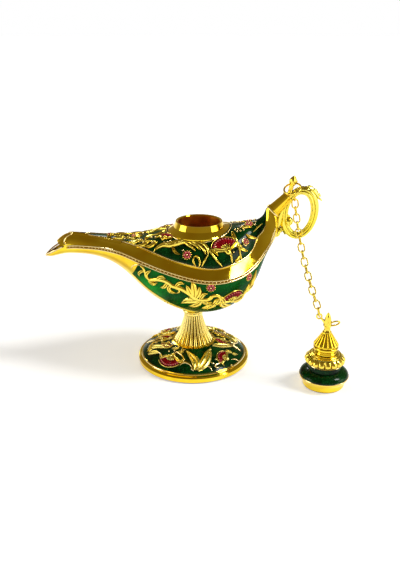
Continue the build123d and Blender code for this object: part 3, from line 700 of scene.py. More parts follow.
hullDesign = {
    "panelEdge": [(-25.5, 48.2), (-24.6, 49.9), (-22.6, 50.9), (-21.0, 50.7)],
    "edgeWire": (0.6, 0.4),
    "panelFoot": [(-25.4, 45.3), (-22.4, 42.3), (-19.1, 39.3), (-14.5, 36.2), (-10.2, 33.4), (-4.0, 30.6),
                  (2.0, 28.0)],
    "footWire": (0.5, 0.3),
    "stem": [(-21.2, 50.6), (-20.1, 49.7), (-19.4, 47.7), (-18.6, 45.6), (-16.9, 44.8), (-14.7, 45.6),
             (-11.9, 45.7), (-9.8, 44.9), (-8.4, 43.8), (-6.3, 43.3), (-4.6, 42.9), (-2.6, 41.7),
             (-0.5, 40.2), (0.6, 38.8), (2.2, 38.2), (5.2, 38.1), (6.8, 38.6), (7.8, 39.9), (9.3, 40.4),
             (10.8, 39.7), (11.3, 37.7), (10.6, 35.8), (9.2, 35.2)],
    "stemSizes": (1.0, 1.0, 0.7),  # width at the ends, what the middle adds, and height
    "leafHeight": 0.75,
    # each leaf's line and width
    "leaves": [
        ([(-18.9, 45.4), (-18.9, 47.0), (-18.2, 48.3), (-16.8, 49.4)], 1.9),
        ([(-19.8, 48.6), (-21.2, 48.0), (-22.0, 46.8), (-21.8, 45.4)], 1.5),
        ([(-18.1, 45.2), (-17.2, 43.8), (-15.9, 43.2), (-14.5, 44.2)], 1.8),
        ([(-14.6, 45.6), (-13.6, 46.9), (-12.2, 47.4), (-10.8, 46.8)], 1.6),
        ([(-10.2, 45.2), (-10.8, 43.8), (-11.7, 42.7), (-13.2, 42.1)], 1.9),
        ([(-8.4, 44.2), (-9.6, 42.6), (-8.9, 40.9), (-6.6, 40.4)], 2.0),
        ([(-7.0, 43.4), (-6.0, 45.0), (-4.6, 45.8), (-3.2, 45.4)], 1.7),
        ([(0.4, 38.6), (-0.8, 41.4), (-1.6, 43.4), (-2.4, 45.0)], 2.9),
        ([(0.6, 38.6), (0.8, 42.0), (0.4, 44.8), (-0.2, 46.8)], 3.0),
        ([(1.0, 38.6), (2.2, 41.0), (2.7, 42.8), (2.8, 44.8)], 2.7),
        ([(2.6, 38.2), (0.2, 37.4), (-2.2, 36.9), (-4.8, 35.0)], 3.6),
        ([(3.4, 37.8), (2.4, 35.9), (0.8, 34.5), (-1.4, 33.8)], 2.8),
        ([(2.8, 38.2), (3.6, 40.0), (4.7, 41.4), (6.2, 41.6)], 1.9),
        ([(3.4, 37.8), (4.8, 36.8), (6.2, 36.4), (7.8, 37.0)], 1.9),
        ([(9.4, 35.8), (7.8, 34.6), (6.0, 33.6), (3.8, 32.9)], 3.2),
        ([(10.8, 38.6), (9.6, 37.6), (8.9, 36.2), (8.8, 34.6)], 1.9),
        ([(11.0, 39.4), (12.2, 38.4), (12.8, 36.8), (12.4, 34.8)], 1.9),
        ([(13.0, 36.8), (12.2, 34.9), (13.4, 33.2), (15.8, 32.6)], 2.9),
        ([(16.8, 35.4), (18.6, 34.4), (20.2, 34.8), (21.6, 36.8)], 2.8),
        ([(20.4, 37.2), (21.8, 38.4), (22.8, 40.0), (23.2, 42.2)], 2.2),
        ([(22.4, 39.6), (24.2, 41.6), (25.4, 44.2), (26.2, 47.4)], 2.0),
        ([(21.6, 38.0), (23.2, 38.4), (24.8, 39.8), (25.6, 41.8)], 1.8),
    ],
    "volute": [(-6.4, 40.6), (-5.4, 41.4), (-5.6, 42.6), (-6.8, 42.5)],
    "voluteWire": (0.8, 0.65),
    # flower's place, aim, size, half angle and petals
    "carnations": [((16.0, 36.2), 82, 5.6, 70, 10)],
    "rosettes": [((7.4, 44.3), 1.75), ((23.1, 45.7), 1.6)],
    "beads": [],
    "keelBeads": ((-12.0, 33.0), (-2.0, 29.1), 9, 0.42, 0.4),  # ends, number, radius and height
}


def makeHull(look):
    thin, swell, height = look["stemSizes"]
    last = len(look["stem"]) - 1
    stem = [(x, z, thin + swell * math.sin(math.pi * i / last)) for i, (x, z) in enumerate(look["stem"])]
    start, end, count, beadRadius, beadHeight = look["keelBeads"]
    for side, name in ((-1, "Front"), (1, "Back")):
        place, kit = fromSide(hull, side), newKit()
        wire(kit["pale"], place, look["panelEdge"], *look["edgeWire"])
        wire(kit["gold"], place, look["panelFoot"], *look["footWire"])
        raiseStroke(kit["gold"], place, stem, height, wireSection, 5)
        wire(kit["gold"], place, look["volute"], *look["voluteWire"])
        addOrnament(kit, look, hull, place, (1, 0, 0), (0, 0, 1))
        for i in range(count):
            x, z = (a + (b - a) * i / (count - 1) for a, b in zip(start, end))
            bead(kit["gold"], place, x, z, beadRadius, beadHeight)
        makeKit("hullScroll" + name, kit)


makeHull(hullDesign)
print("hull scrolls made")


# Dome: broad scrolls, carnations and beaded sprays, the same on both sides

domeDesign = {
    # where the dome rises from the band: x, height, and how far up the wall its green skirt goes
    "edge": [(-24.0, 56.6, 0.5), (-20.0, 55.8, 0.9), (-16.0, 54.9, 1.5), (-12.0, 53.9, 2.0),
             (-8.0, 52.9, 2.5), (-4.0, 52.2, 2.7), (0.0, 51.6, 2.8), (5.0, 50.75, 3.2), (10.0, 50.55, 3.2),
             (14.0, 51.15, 2.8), (18.0, 51.85, 2.6), (20.6, 52.5, 2.5), (23.0, 53.5, 2.0),
             (25.0, 55.3, 1.7), (27.0, 59.1, 1.4), (28.5, 60.6, 1.8), (29.5, 61.8, 1.9), (30.5, 63.8, 2.0)],
    "edgeWire": (0.2, 0.5, 0.35),  # how far above that line, width and height
    "skirt": (0.1, 0.3, 0.06, 6),  # where it starts, how far it runs on, its skin and its rows
    # the same line on the spout from above, and the strip of band beside it: x, inner and outer y
    "spoutEdge": [(-23.4, 8.75), (-27.0, 6.8), (-30.0, 5.4), (-34.0, 4.0), (-38.0, 2.9), (-42.0, 1.9),
                  (-44.5, 1.2), (-46.0, 0.3)],
    "spoutWire": (0.4, 0.45),
    "spoutBand": [(-30.0, 5.6, 7.4), (-33.0, 4.6, 6.6), (-35.0, 3.9, 6.0), (-37.0, 3.2, 5.2),
                  (-39.3, 2.4, 4.4), (-41.5, 1.9, 3.8), (-43.7, 1.4, 3.4), (-46.0, 0.7, 3.0),
                  (-48.1, 0.3, 2.7), (-50.2, 0.1, 2.4), (-51.6, 0.1, 2.2)],
    "bandLift": (0.02, 0.34, 6),  # of the band's outer edge, what the inner edge adds, and rows
    "collarWire": (13.85, 0.5, 0.35),
    # the broad scroll beside the collar: x, y and width
    "scroll": [(-15.8, 13.2, 0.4), (-14.4, 12.4, 1.4), (-12.0, 12.0, 2.2), (-9.2, 12.6, 3.0),
               (-6.5, 12.4, 3.1), (-4.1, 12.2, 2.8), (-1.9, 12.7, 2.2), (0.6, 13.7, 1.5)],
    "scrollHeight": 0.85,
    "ribs": [[(-3.4, 13.0), (-2.1, 14.2), (-0.4, 15.5), (1.3, 17.1)],
             [(-1.9, 13.0), (-0.4, 14.0), (1.3, 15.0), (3.3, 17.0)],
             [(-0.2, 13.3), (1.4, 14.2), (3.0, 15.4), (4.7, 17.2), (5.3, 18.4)],
             [(1.4, 13.6), (3.2, 14.0), (4.7, 14.9), (6.0, 16.6), (6.3, 18.4)]],
    "ribWire": (1.2, 0.85),
    # strokes that run down the wall to the band: x, height
    "falls": [[(3.4, 60.2), (5.7, 58.6), (8.0, 56.0), (10.4, 53.3), (11.9, 51.6)],
              [(6.3, 56.2), (5.0, 54.3), (3.8, 51.8)],
              [(0.5, 55.0), (0.3, 53.5), (1.3, 51.8)],
              [(0.5, 55.0), (1.6, 55.5), (2.7, 54.4), (3.0, 53.0), (2.6, 51.6)],
              [(15.2, 55.4), (15.7, 53.9), (16.0, 52.2)],
              [(18.9, 56.0), (19.5, 54.0), (19.9, 52.6)]],
    "fallWire": (0.9, 0.6),
    "stems": [
        [(14.8, 15.2), (15.4, 16.4), (15.9, 17.6)],
        [(16.8, 8.0), (17.9, 11.8), (18.9, 13.6), (19.6, 14.6)],
        [(25.1, 5.4), (27.1, 4.0), (29.0, 3.2)],
        [(-34.0, 0.8), (-30.0, 1.8), (-26.0, 3.6), (-22.0, 5.6), (-18.0, 7.6), (-14.6, 9.6)],
        [(-11.4, 1.0), (-13.0, 2.4), (-15.0, 3.2), (-17.2, 2.8)],
    ],
    "stemWire": (0.85, 0.6),
    "leafHeight": 0.7,
    "leaves": [
        ([(-14.6, 9.6), (-16.2, 10.4), (-18.0, 10.8), (-20.2, 10.2)], 1.8),
        ([(-18.0, 7.6), (-19.6, 8.8), (-21.4, 9.2), (-23.6, 8.4)], 1.8),
        ([(-22.0, 5.6), (-23.6, 6.6), (-25.4, 6.9), (-27.4, 6.0)], 1.6),
        ([(-20.0, 5.8), (-19.6, 4.0), (-18.6, 2.8), (-16.8, 2.0)], 1.7),
        ([(-25.0, 3.8), (-24.6, 2.2), (-23.4, 1.0), (-21.6, 0.5)], 1.6),
        ([(-29.0, 2.4), (-30.2, 3.4), (-31.8, 3.6), (-33.6, 3.0)], 1.3),
        ([(-8.2, 13.8), (-7.6, 15.2), (-6.6, 16.2), (-4.9, 17.0)], 1.7),
        ([(16.4, 7.0), (16.8, 9.2), (17.4, 11.0), (18.2, 13.0)], 2.0),
        ([(18.8, 13.0), (20.0, 13.0), (21.2, 12.5), (22.6, 11.6)], 1.6),
        ([(17.0, 17.0), (18.0, 16.3), (18.7, 15.5), (19.4, 14.6)], 1.6),
        ([(22.0, 7.6), (23.4, 7.6), (25.0, 7.0), (26.8, 6.0)], 1.6),
        ([(20.6, 4.8), (22.0, 4.0), (23.4, 3.8), (25.0, 4.2)], 1.4),
        ([(10.2, 18.6), (9.2, 17.6), (8.0, 17.0), (6.6, 16.8)], 1.4),
    ],
    "curl": [(21.9, 9.4), (20.9, 9.6), (20.4, 10.4), (20.9, 11.3), (21.8, 11.1), (21.9, 10.4), (21.4, 10.3)],
    "curlWire": (0.5, 0.5),
    # flower's place, aim, size, half angle and petals
    "carnations": [((14.3, 16.2), 114, 6.8, 60, 10), ((-12.2, 8.6), 62, 3.9, 62, 7),
                   ((-34.6, 0.6), 175, 1.9, 56, 5)],
    "rosettes": [((-2.2, 17.6), 1.75), ((23.6, 2.2), 1.7), ((21.9, 9.9), 1.35), ((-25.0, 0.6), 1.2)],
    "beads": [(-11.6, 10.9), (-10.3, 11.1), (-9.1, 10.9), (-5.6, 11.6), (-3.9, 16.0), (15.4, 16.6),
              (16.6, 15.6), (17.6, 5.4), (18.9, 4.9), (20.0, 4.0), (20.9, 3.0), (18.4, 6.6), (19.8, 6.2),
              (21.2, 5.6), (26.4, 1.6), (26.0, 2.9), (-17.3, 4.6), (-20.7, 7.4), (-16.7, 9.0),
              (-21.8, 4.4), (-15.6, 5.4), (-27.4, 1.6), (-28.8, 3.6), (9.4, 15.6)],
    "beadSize": (0.45, 0.6),
}


def makeSkirt(look, aside):
    # the green that runs down the wall from the dome's cell to the band
    start, more, skin, last = look["skirt"]
    rows, shape = [], newShape()
    for x, z, rise in smoothLine(look["edge"], 6):
        wall = (aside(x, z + start + (rise + more) * k / last) for k in range(last + 1))
        rows.append([point + normal * skin for point, normal in wall])
    addGrid(shape, rows)
    return shape


def makeSpoutBand(look, place):
    # a tilted strip of the band on the spout, higher along its inner edge
    low, lift, last = look["bandLift"]
    rows, shape = [], newShape()
    for x, inner, outer in smoothLine(look["spoutBand"], 4):
        row = []
        for k in range(last + 1):
            point, normal = place(x, outer + (inner - outer) * k / last)
            row.append(point + Vector((0, 0, low + lift * k / last)))
        rows.append(row)
    addGrid(shape, rows)
    return shape


def makeDome(look):
    for side, name in ((-1, "Front"), (1, "Back")):
        place, aside, kit = fromAbove(dome, (1, side)), fromSide(dome, side), newKit()
        makePiece("domeSkirt" + name, makeSkirt(look, aside), thickGreen, finish="green_enamel")
        rise, width, height = look["edgeWire"]
        wire(kit["pale"], aside, [(x, z + rise) for x, z, reach in look["edge"]], width, height)
        wire(kit["pale"], place, look["spoutEdge"], *look["spoutWire"])
        makePiece("spoutBand" + name, makeSpoutBand(look, place), polishedGold)
        raiseStroke(kit["gold"], place, look["scroll"], look["scrollHeight"], leafSection, 6)
        for strokes, where, size in (("ribs", place, "ribWire"), ("falls", aside, "fallWire"),
                                     ("stems", place, "stemWire")):
            for points in look[strokes]:
                wire(kit["gold"], where, points, *look[size])
        wire(kit["pale"], place, look["curl"], *look["curlWire"])
        addOrnament(kit, look, dome, place, (1, 0, 0), (0, -side, 1))
        makeKit("domeScroll" + name, kit)


def makeCollarWire(look):
    radius, width, height = look["collarWire"]
    ring = [(radius * math.cos(t), radius * math.sin(t)) for t in (2 * math.pi * i / 48 for i in range(49))]
    shape, surface = newShape(), surfaceOf("collar", "dome_enamel", "upper_shell")
    wire(shape, fromAbove(surface, centre=collarCentre), ring, width, height, steps=3)
    makePiece("collarWire", shape, paintedHighlightGold)


makeDome(domeDesign)
makeCollarWire(domeDesign)
print("dome scrolls made")


# Foot: carnations, leaves and scrolls round the enamel

footDesign = {
    "edgeRing": (23.35, 0.32),
    "stemWire": (0.75, 0.5),
    "leafHeight": 0.75,
    "stems": [
        [(-8.6, -12.5), (-7.0, -11.8), (-4.9, -14.2), (-4.0, -16.6), (-4.8, -17.4)],
        [(-5.7, -19.2), (-4.0, -18.1), (-2.3, -18.6), (-0.7, -20.0), (-0.4, -21.4), (0.5, -21.9)],
        [(-6.5, -11.6), (-4.6, -11.0), (-3.4, -10.6)],
        [(7.4, -17.2), (8.4, -17.7), (9.4, -17.8)],
        [(5.6, -19.7), (7.1, -19.6), (8.1, -20.9)],
        [(13.6, -15.2), (11.2, -17.0), (9.6, -18.5), (10.1, -19.2), (11.2, -18.8)],
        [(10.5, 0.9), (13.5, -2.0), (17.2, -3.0), (21.5, -4.1)],
        [(13.9, 0.0), (17.7, -0.4), (19.5, 1.2), (20.2, 3.6), (18.6, 3.0)],
        [(-18.6, -7.3), (-15.6, -9.1), (-14.0, -11.4), (-13.9, -12.6)],
        [(-19.9, 2.6), (-18.0, 2.6), (-16.2, 2.3)],
        [(17.0, -12.6), (18.6, -11.6), (20.0, -11.6)],
    ],
    "leaves": [
        ([(-20.1, -5.9), (-18.9, -3.6), (-17.0, -3.9), (-13.1, -6.0), (-9.6, -7.2)], 2.8),
        ([(-20.0, -7.6), (-18.6, -7.6), (-16.4, -8.6), (-14.8, -10.0)], 2.2),
        ([(0.6, -21.6), (1.4, -19.4), (0.8, -17.0), (-0.8, -14.6), (-3.0, -11.4)], 3.8),
        ([(1.8, -21.6), (4.0, -19.4), (5.6, -16.4), (6.6, -12.6), (7.7, -8.9)], 4.4),
        ([(8.5, -6.4), (11.5, -5.6), (14.6, -4.6), (17.2, -3.9)], 2.8),
        ([(17.1, -9.3), (18.4, -8.9), (19.8, -8.1)], 1.3),
        ([(13.6, -10.0), (14.8, -8.8), (16.2, -8.6), (17.4, -9.2)], 1.4),
        ([(-6.0, -13.0), (-5.0, -12.2), (-4.6, -10.8), (-5.2, -9.6)], 1.3),
        ([(-9.4, -8.6), (-8.0, -9.4), (-6.8, -9.2), (-6.0, -8.0)], 1.3),
    ],
    # flower's place, aim, size, half angle and petals
    "carnations": [((-9.0, -13.6), 243, 6.1, 58, 11), ((14.6, -13.4), 160, 4.4, 66, 9),
                   ((11.2, 4.0), 55, 3.6, 60, 7), ((-13.6, -0.4), 62, 4.4, 46, 7)],
    "rosettes": [],
    "beads": [(-16.8, -0.7), (0.6, -18.7), (9.9, -15.4), (16.6, -15.6), (19.6, 1.8), (-10.6, -10.4),
              (-8.2, -10.6)],
    "beadSize": (0.45, 0.55),
}


def makeFoot(look):
    trim = newShape()
    radius, size = look["edgeRing"]
    point, normal = fromAbove(footTop)(radius, 0)
    addRing(trim, (0, 0, point.z), (0, 0, 1), radius, size, 120, 8)
    makePiece("footEdgeWire", trim, paintedHighlightGold)
    # the same design twice, the second turned by half a turn
    for number, turn in ((1, 1), (2, -1)):
        place, kit = fromAbove(footTop, (turn, turn)), newKit()
        for points in look["stems"]:
            wire(kit["pale"], place, points, *look["stemWire"])
        addOrnament(kit, look, footTop, place, (turn, 0, 0), (0, turn, 0))
        makeKit("footScroll%d" % number, kit, gold=satinGold)


makeFoot(footDesign)
print("foot scrolls made")


# Stem: reeds that end in points on the foot, under a plain band and ring

stemShape = {
    "reeds": 24,
    "samples": 8,
    "grooveShare": 0.24,
    "profile": [(8.5, 9.6), (7.9, 10.6), (7.1, 12.0), (6.5, 13.4), (5.9, 15.0), (5.3, 16.8), (4.8, 18.4),
                (4.4, 19.8), (4.15, 20.8), (4.05, 21.9)],
    "tongue": 0.9,  # how far each reed's point runs out along the foot
    "tongueSharpness": 1.5,
    "tongueRows": (1.0, 0.66, 0.33),  # shares of the tongue's reach
    "tuck": 0.3,  # how far the tongue's root lies under the reed
    "tongueRise": 0.35,
    "seat": (0.02, 0.05),  # how deep the grooves sit in the foot, and what the crests add
    "top": [(3.9, 21.8), (4.15, 22.0), (4.1, 22.9), (4.3, 23.15), (4.75, 23.4), (4.85, 23.8), (4.7, 24.15),
            (4.3, 24.4), (2.0, 24.4)],
}


def makeStem(look):
    shape, count = newShape(), look["reeds"] * look["samples"]
    turns = [(2 * math.pi * j / count, crest(j / count, look["reeds"])) for j in range(count)]
    above, (seat, step) = fromAbove(footTop), look["seat"]
    rows = []
    for reach in look["tongueRows"]:
        row = []
        for turn, rib in turns:
            r = (look["profile"][0][0] + look["tongue"] * reach * rib ** look["tongueSharpness"]
                 - look["tuck"] * (1 - reach))
            point, normal = above(r * math.cos(turn), r * math.sin(turn))
            lift = look["tongueRise"] * (1 - reach) * rib - seat + step * rib
            row.append(point + Vector((0, 0, lift)))
        rows.append(row)
    for radius, height in smoothLine(look["profile"], 4):
        row = []
        for turn, rib in turns:
            r = radius * (1 - look["grooveShare"] * (1 - rib))
            row.append(Vector((r * math.cos(turn), r * math.sin(turn), height)))
        rows.append(row)
    addGrid(shape, rows, closed=True)
    lathe(shape, smoothLine(look["top"], 3), count=64)
    piece = makePiece("stemReeds", shape, reedGold, crease=50)
    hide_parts("stem")


makeStem(stemShape)
print("stem made")


# Handle: a ridged scroll with a leaf crest, a ball at its curl and a knob

handleShape = {
    "centre": (45.0, 68.2),
    "half": (7.9, 11.6),
    "lean": 7.0,
    "bar": (1.75, 1.7),
    "leftShare": 0.62,  # the bar is slimmer where it lies along the tail
    "leftTurn": 290,
    "swells": (0.1, -0.06),  # what the bar gains at the top and on the outside, as shares
    "ball": (40.5, 64.6, 1.95),
    "curl": [(40.2, 59.6), (38.9, 61.6), (38.3, 63.8), (38.6, 65.8), (39.8, 66.9), (41.0, 66.6)],
    "curlSizes": (1.5, 1.45, 1.3, 1.05, 0.8, 0.4),
    "knob": (35.6, 59.3, 1.65),
    # the web that joins the bar to the tail
    "web": [(36.0, 61.8), (36.6, 64.6), (37.4, 67.6), (38.9, 70.8), (41.2, 74.2)],
    "webSizes": (0.7, 1.45, 1.6, 1.4, 0.6),
    "webDepth": 0.9,
    # a leaf that lies on the outside of the bar, and the points of its edge
    "crest": [(44.6, 78.6, 0.3), (47.2, 79.1, 0.7), (49.8, 78.2, 0.85), (51.6, 76.4, 0.8),
              (52.8, 74.4, 0.3)],
    "crestDepth": 0.9,
    "notches": [[(46.6, 79.0), (48.4, 79.7), (50.2, 79.2)], [(49.4, 78.4), (51.0, 78.3), (52.2, 77.2)],
                [(51.0, 76.9), (52.6, 76.4), (53.6, 75.0)], [(51.8, 75.0), (53.2, 74.2), (54.2, 73.2)]],
    "notchSizes": [(0.35, 0.6), (0.42, 0.5), (0.08, 0.12)],
    # the turned neck from the knob to the ball, and its rings: how far from the knob, radius, wire
    "neckSizes": [(1.4, 1.4), (0.9, 0.9), (0.85, 0.85), (1.5, 1.5)],
    "neckRings": [(1.89, 1.15, 0.28), (2.646, 1.1, 0.28)],
}


def ellipseAt(look, turn, inset=0.0):
    # a point of the handle's leaning oval; turn 0 is its top
    lean = math.radians(90 - look["lean"])
    up, out = (look["half"][1] - inset) * math.cos(turn), (look["half"][0] - inset) * math.sin(turn)
    x = look["centre"][0] + up * math.cos(lean) + out * math.sin(lean)
    z = look["centre"][1] + up * math.sin(lean) - out * math.cos(lean)
    return Vector((x, 0, z))


def upright(points, y=0):
    # points of a side view, set up at a depth
    return [Vector((x, y, z)) for x, z in points]


def makeHandle(look):
    shape, depthWay = newShape(), (0, 1, 0)
    across, deep = look["bar"]
    turns = [2 * math.pi * i / 28 for i in range(29)]
    top, outside = look["swells"]
    sizes = []
    for turn in turns:
        left = max(0, math.cos(turn - math.radians(look["leftTurn"]))) ** 2
        swell = 1 + top * math.cos(turn) + outside * math.sin(turn) - (1 - look["leftShare"]) * left
        sizes.append((across * swell, deep * swell))
    oval = [ellipseAt(look, turn, across) for turn in turns]
    sweep(shape, oval, sizes, depthWay, roundSection(72, 6, 0.26, 5), 4, closed=True)
    crestLine = upright([(x, z) for x, z, size in look["crest"]])
    sizes = [(size, look["crestDepth"]) for x, z, size in look["crest"]]
    sweep(shape, crestLine, sizes, depthWay, roundSection(16, 4, 0.2))
    for points in look["notches"]:
        sweep(shape, upright(points), look["notchSizes"], depthWay, roundSection(10))
    *ball, ballRadius = look["ball"]
    *knob, knobRadius = look["knob"]
    ball, knob = upright([ball, knob])
    axis = (ball - knob).normalized()
    addBall(shape, ball, depthWay, ballRadius, 1.05, 14, 28)
    sizes = [(size, size * 1.05) for size in look["curlSizes"]]
    sweep(shape, upright(look["curl"]), sizes, depthWay, roundSection(36, 4, 0.2, 4), 5)
    addBall(shape, knob, axis, knobRadius, 1.0, 12, 24)
    neck = [knob.lerp(ball, share / 3) for share in range(4)]
    sweep(shape, neck, look["neckSizes"], depthWay, roundSection(18), 5)
    sizes = [(size, look["webDepth"]) for size in look["webSizes"]]
    sweep(shape, upright(look["web"]), sizes, depthWay, roundSection(20, 4, 0.1))
    for reach, radius, size in look["neckRings"]:
        addRing(shape, knob + axis * reach, axis, radius, size, 30, 8)
    piece = makePiece("handleScroll", shape, handleGold, crease=60)
    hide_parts("handle")


makeHandle(handleShape)
print("handle made")


# Finials: a bud with three petals on the tail, and one with two, an eye and a loop on the lid

tailFinial = {
    "foot": (40.04, 0, 75.46),
    "tilt": 77.0,
    # radius and height along the axis
    "neck": [(0.2, -1.2), (1.1, -1.1), (1.45, -0.5), (1.4, 0.5), (1.12, 1.2), (0.98, 2.2), (0.95, 4.6),
             (1.1, 5.2)],
    "bud": [(1.45, 5.7), (1.62, 6.5), (1.5, 7.2), (1.05, 8.0), (0.62, 8.5), (0.3, 8.8), (0.04, 8.86)],
    "petalFoot": 4.9,
    "petals": (90, 210, 330),
    "petalReach": 1.5,
    "petalRise": 2.3,
}
budLobes = (0.14, 0.3)  # how deep, and how far above the neck they start
# each petal's spots, as shares of its reach and rise with mm added, and its sizes
petalLine = [(0, 0.8, 0), (0, 1.15, 0.3), (0.8, 0.3, 0.65), (1, 0.35, 1)]
petalSizes = [(0.55, 0.3), (0.85, 0.32), (0.6, 0.28), (0.1, 0.1)]


def makeBud(look):
    # turns the neck and the lobed bud about a leaning axis, and adds its petals
    shape = newShape()
    lean = math.radians(look["tilt"])
    axis, side = Vector((math.cos(lean), 0, math.sin(lean))), Vector((0, 1, 0))
    out = side.cross(axis)

    def at(r, turn, h):
        return Vector(look["foot"]) + axis * h + (side * math.cos(turn) + out * math.sin(turn)) * r

    rows, (depth, above) = [], budLobes
    for radius, height in smoothLine(look["neck"] + look["bud"], 4):
        lobed = depth if height > look["neck"][-1][1] + above else 0
        turns = (2 * math.pi * j / 36 for j in range(36))
        rows.append([at(radius * (1 - lobed * abs(math.sin(2 * turn))), turn, height) for turn in turns])
    addGrid(shape, rows, closed=True)
    low, reach, rise = look["petalFoot"], look["petalReach"], look["petalRise"]
    for degrees in look["petals"]:
        turn = math.radians(degrees)
        points = [at(share * reach + more, turn, low + up * rise) for share, more, up in petalLine]
        across = side * math.cos(turn) + out * math.sin(turn)
        sweep(shape, points, petalSizes, across, roundSection(14), 5)
    return shape


def makeTailBud(look):
    piece = makePiece("tailBud", makeBud(look), reliefGold)
    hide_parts("tail_finial")


lidCentre = (55.49, -23.86)  # the lid's axis in plan

lidFinial = {
    "foot": (*lidCentre, 24.4),
    "tilt": 90.0,
    "neck": [(1.9, -0.1), (1.85, 0.1), (1.5, 0.5), (1.3, 1.1), (1.35, 1.8), (1.6, 2.5)],
    "bud": [(1.75, 3.4), (1.62, 4.4), (1.35, 5.6), (1.1, 6.8), (0.7, 7.8), (0.3, 8.4), (0.04, 8.58)],
    "petalFoot": 2.2,
    "petals": (0, 180),
    "petalReach": 1.5,
    "petalRise": 2.6,
    "eye": (51.79, 31.3, 1.05, 0.36),  # x, height, radius and wire
    "arm": [(55.3, 26.4), (54.6, 28.0), (53.8, 29.2), (52.7, 30.4)],
    "armSizes": [(0.9, 0.5), (0.75, 0.45), (0.6, 0.42), (0.42, 0.38)],
    "loop": [(55.7, 26.6), (57.0, 27.0), (58.6, 27.2), (60.0, 27.9), (60.35, 28.6), (59.6, 29.0),
             (58.0, 28.8), (56.6, 28.2), (55.6, 27.6)],
    "loopSizes": [(0.5, 0.45), (0.34, 0.36)],  # at its two ends, and between them
}


def makeLidBud(look):
    shape, y = makeBud(look), look["foot"][1]
    x, z, radius, size = look["eye"]
    addRing(shape, (x, y, z), (0, 1, 0), radius, size, 32, 10)
    sweep(shape, upright(look["arm"], y), look["armSizes"], (0, 1, 0), roundSection(14), 5)
    end, middle = look["loopSizes"]
    sizes = [end] + [middle] * (len(look["loop"]) - 2) + [end]
    sweep(shape, upright(look["loop"], y), sizes, (0, 1, 0), roundSection(12), 5)
    piece = makePiece("lidBud", shape, reliefGold, "lid")
    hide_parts("lid_finial")


makeTailBud(tailFinial)
makeLidBud(lidFinial)
print("finials made")


# Lid: a gadrooned disc, a ribbed bell, a flared skin round the plug and two wires

lidTrim = {
    # radius and height
    "skin": [(8.45, 0.03), (8.62, 0.12), (8.85, 0.6), (8.98, 1.6), (9.25, 2.6), (9.75, 3.4), (10.15, 4.0),
             (10.3, 4.4), (10.2, 4.6)],
    "wires": [(10.22, 4.6, 0.24), (7.25, 10.25, 0.3)],
}


def makeLidTrim(look):
    shape = newShape()
    lathe(shape, smoothLine(look["skin"], 3), lidCentre, 96)
    makePiece("lidPlugSkin", shape, polishedGold, "lid")
    shape = newShape()
    for radius, height, size in look["wires"]:
        addRing(shape, (*lidCentre, height), (0, 0, 1), radius, size, 96, 8)
    makePiece("lidWires", shape, paintedHighlightGold, "lid")


def ribSwell(count, depth, last):
    # round ribs side by side that fade out at the first and the last row
    def swell(share, row):
        return 1 - depth * (1 - crest(share, count)) * math.sin(math.pi * row / last) ** 0.5
    return swell


lidDisc = {
    "lobes": 18,
    "depthShare": 0.13,
    "profile": [(6.9, 10.5), (7.7, 10.55), (8.25, 11.0), (8.5, 11.7), (8.4, 12.4), (7.9, 13.1),
                (7.1, 13.7)],
    "ledge": [(6.7, 13.75), (6.9, 14.0), (6.6, 14.25), (5.9, 14.3), (5.7, 14.55), (5.2, 14.7), (4.0, 14.7)],
}


def makeLidDisc(look):
    # a gadrooned disc: round lobes side by side under two plain ledges
    shape, count = newShape(), look["lobes"]
    profile = smoothLine(look["profile"], 4)
    lathe(shape, profile, lidCentre, count * 12, ribSwell(count, look["depthShare"], len(profile) - 1))
    lathe(shape, smoothLine(look["ledge"], 3), lidCentre, 96)
    piece = makePiece("lidGadroons", shape, reliefGold, "lid", crease=60)
    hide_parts("lid_disc")


lidBell = {
    "ribs": 12,
    "depthShare": 0.12,
    "base": [(4.2, 14.6), (4.6, 14.9), (4.55, 15.5), (4.2, 15.8), (4.25, 16.3), (4.9, 16.7), (5.15, 17.2),
             (5.15, 17.8), (4.8, 18.1)],
    "cone": [(4.7, 18.1), (5.15, 18.5), (5.15, 19.1), (4.7, 19.8), (3.95, 20.9), (3.2, 22.1), (2.5, 23.2),
             (2.0, 23.9), (1.8, 24.4), (1.3, 24.5)],
}


def makeLidBell(look):
    # a bell over a moulded foot, its cone cast in round ribs
    shape, count = newShape(), look["ribs"]
    cone = smoothLine(look["cone"], 4)
    lathe(shape, smoothLine(look["base"], 4), lidCentre, 96)
    lathe(shape, cone, lidCentre, count * 14, ribSwell(count, look["depthShare"], len(cone) - 1))
    piece = makePiece("lidBellRibs", shape, polishedGold, "lid", crease=60)
    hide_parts("lid_bell")


makeLidTrim(lidTrim)
makeLidDisc(lidDisc)
makeLidBell(lidBell)
print("lid trim made")


# Tail, spout and collar trim: a ferrule wire, the mouth's rolled edges and the collar's lining

endTrim = {
    "ferrule": ((33.7, 0, 69.1), (1, 0, 1), 3.05, 0.42),  # middle, axis, radius and wire
    # the rolled edge round the lower lip, and a rolled band round the upper one
    "lip": [(-63.5, 0.5, 49.75), (-61.6, 3.2, 51.35), (-59.6, 4.5, 52.65), (-57.6, 4.95, 53.65),
            (-55.4, 4.95, 54.75)],
    "lipSize": (0.3, 0.3),
    "band": [(-53.4, 4.85), (-54.3, 4.4), (-54.0, 3.4), (-52.8, 2.2), (-51.6, 1.2), (-51.2, 0),
             (-51.6, -1.2), (-52.8, -2.2), (-54.0, -3.4), (-54.3, -4.4), (-53.4, -4.85)],
    "bandWire": (0.6, 0.4),
    "lining": [(8.96, 57.1), (8.93, 58.5), (8.95, 61.0), (8.93, 63.4), (8.97, 64.5)],
}


